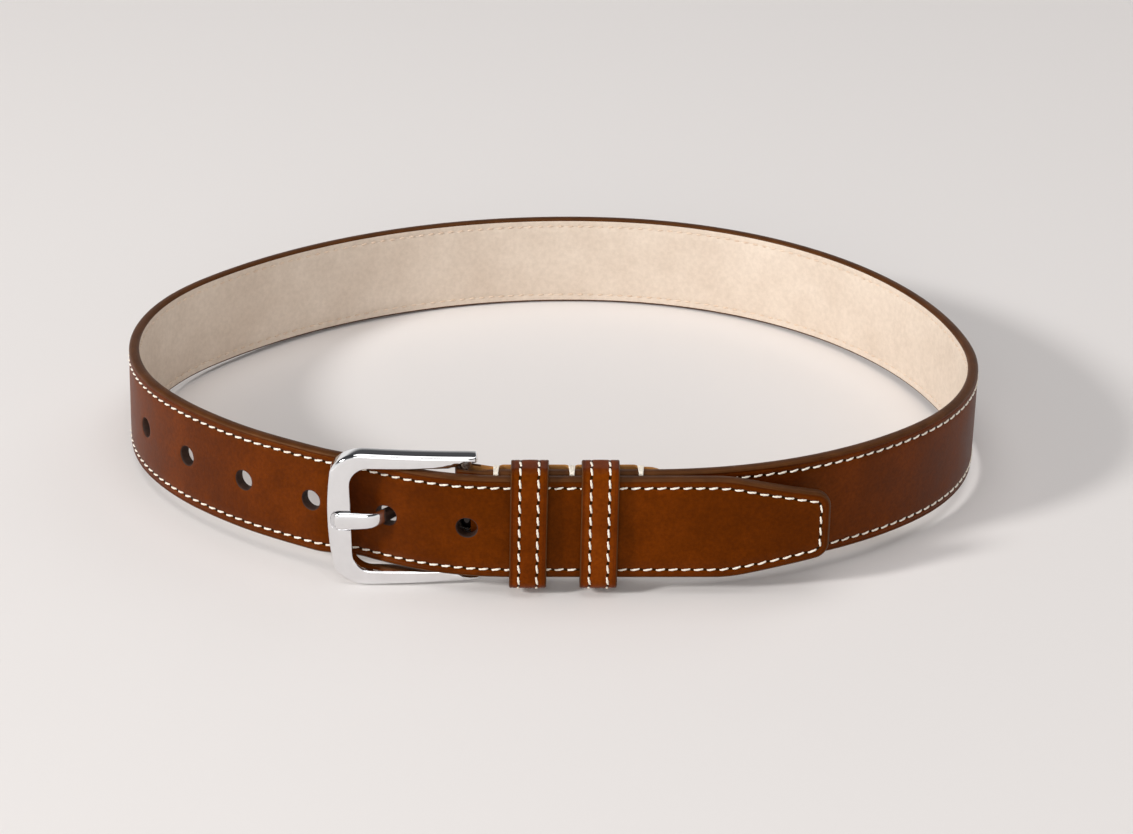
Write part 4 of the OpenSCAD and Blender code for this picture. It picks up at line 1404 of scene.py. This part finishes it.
boolean(prong, eye_shape().build("eye_tool", [PRONG_PLATE]), "UNION")

# ------------------------------------------------------------------- bodies and the frame
for obj, body, node, slot in [
    (strap_outer, "strap", "strap_outer", "strap_outer"),
    (strap_core, "strap", "strap_core", "strap_core"),
    (strap_lining, "strap", "strap_lining", "strap_lining"),
    (face_stitches, "strap", "strap_stitching_face", "thread"),
    (lining_stitches, "strap", "strap_stitching_lining", "thread"),
    *[(row, "strap", f"row_stitch_{n}", "thread") for n, row in enumerate(row_pieces, 1)],
    (buckle, "buckle", "buckle_frame", "buckle_metal"),
    (prong, "prong", "prong", "buckle_metal"),
]:
    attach(obj, body)
    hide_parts(node)

# the tip's layers run on from the strap's: they are baked in place, on no body
for obj, node, slot in [
    (tip_outer, "tip_outer", "strap_outer"), (tip_core, "tip_core", "strap_core"),
    (tip_lining, "tip_lining", "strap_lining"), (tip_stitching, "tip_stitching", "thread"),
    (tip_back_stitching, None, "thread"),
]:
    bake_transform(obj)
    if node:
        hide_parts(node)

for name in ("buckle_bar", "keeper_1_staple", "keeper_2_staple"):
    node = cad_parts[name]
    node.data.materials.clear()
    node.data.materials.append(STEEL)

# --------------------------------------------------------------- floor, light and camera
floor_mesh = bpy.data.meshes.new("floor")
FLOOR = 3.0  # half of its side, in metres
floor_mesh.from_pydata(
    [(-FLOOR, -FLOOR, 0), (FLOOR, -FLOOR, 0), (FLOOR, FLOOR, 0), (-FLOOR, FLOOR, 0)], [], [(0, 1, 2, 3)])
floor = bpy.data.objects.new("floor", floor_mesh)
bpy.context.scene.collection.objects.link(floor)
m, nodes, links, bsdf = new_material("pale_floor")
bsdf.inputs["Base Color"].default_value = (*linear(230, 226, 224), 1)
bsdf.inputs["Roughness"].default_value = 0.85
bsdf.inputs["Specular IOR Level"].default_value = 0.2
floor_mesh.materials.append(m)


def area_light(name, place, aim, size, power, colour):
    data = bpy.data.lights.new(name, "AREA")
    data.shape, data.size = "DISK", size
    data.energy, data.color = power, colour
    obj = bpy.data.objects.new(name, data)
    obj.location = place
    obj.rotation_mode = "QUATERNION"
    obj.rotation_quaternion = (Vector(aim) - Vector(place)).to_track_quat("-Z", "Y")
    bpy.context.scene.collection.objects.link(obj)


area_light("key", (-2.1, -1.1, 1.3), (0, 0, 0.02), 0.42, 50.0, (1.0, 0.985, 0.965))
area_light("front", (-0.2, -2.5, 1.3), (0, 0, 0.02), 1.8, 21.0, (1.0, 0.99, 0.98))
area_light("overhead", (0.0, -0.1, 2.4), (0, 0.1, 0), 2.4, 26.0, (1.0, 0.99, 0.985))
area_light("back", (1.5, 1.3, 1.9), (0, 0, 0.02), 1.6, 7.0, (1.0, 0.99, 0.985))
world = bpy.data.worlds.new("studio")
bpy.context.scene.world = world
world.use_nodes = True
wn, wl = world.node_tree.nodes, world.node_tree.links
coords = add(wn, "ShaderNodeTexCoord")
split = add(wn, "ShaderNodeSeparateXYZ")
wl.new(coords.outputs["Generated"], split.inputs[0])
sky = ramp(wn, wl, split.outputs["Z"], [
    (0.0, (0.92, 0.905, 0.895)), (0.26, (0.86, 0.85, 0.84)), (0.40, (0.08, 0.08, 0.085)),
    (1.0, (0.03, 0.03, 0.032)),
])
wl.new(sky, wn["Background"].inputs["Color"])
wn["Background"].inputs["Strength"].default_value = 1.0

CAMERA = (5.0, -707.4, 347.0)
PITCH_DOWN = 26.0
LENS_PX, FRAME_PX = 2430.0, 1133.0
cam_data = bpy.data.cameras.new("camera")
cam_data.sensor_width = 36.0
cam_data.lens = LENS_PX / FRAME_PX * cam_data.sensor_width
cam_data.clip_start, cam_data.clip_end = 0.01, 20.0
cam = bpy.data.objects.new("camera", cam_data)
cam.location = spot(*CAMERA)
cam.rotation_euler = (math.radians(90 - PITCH_DOWN) + lean, 0, 0)
bpy.context.scene.collection.objects.link(cam)
bpy.context.scene.camera = cam
bpy.context.scene.view_settings.view_transform = "Standard"
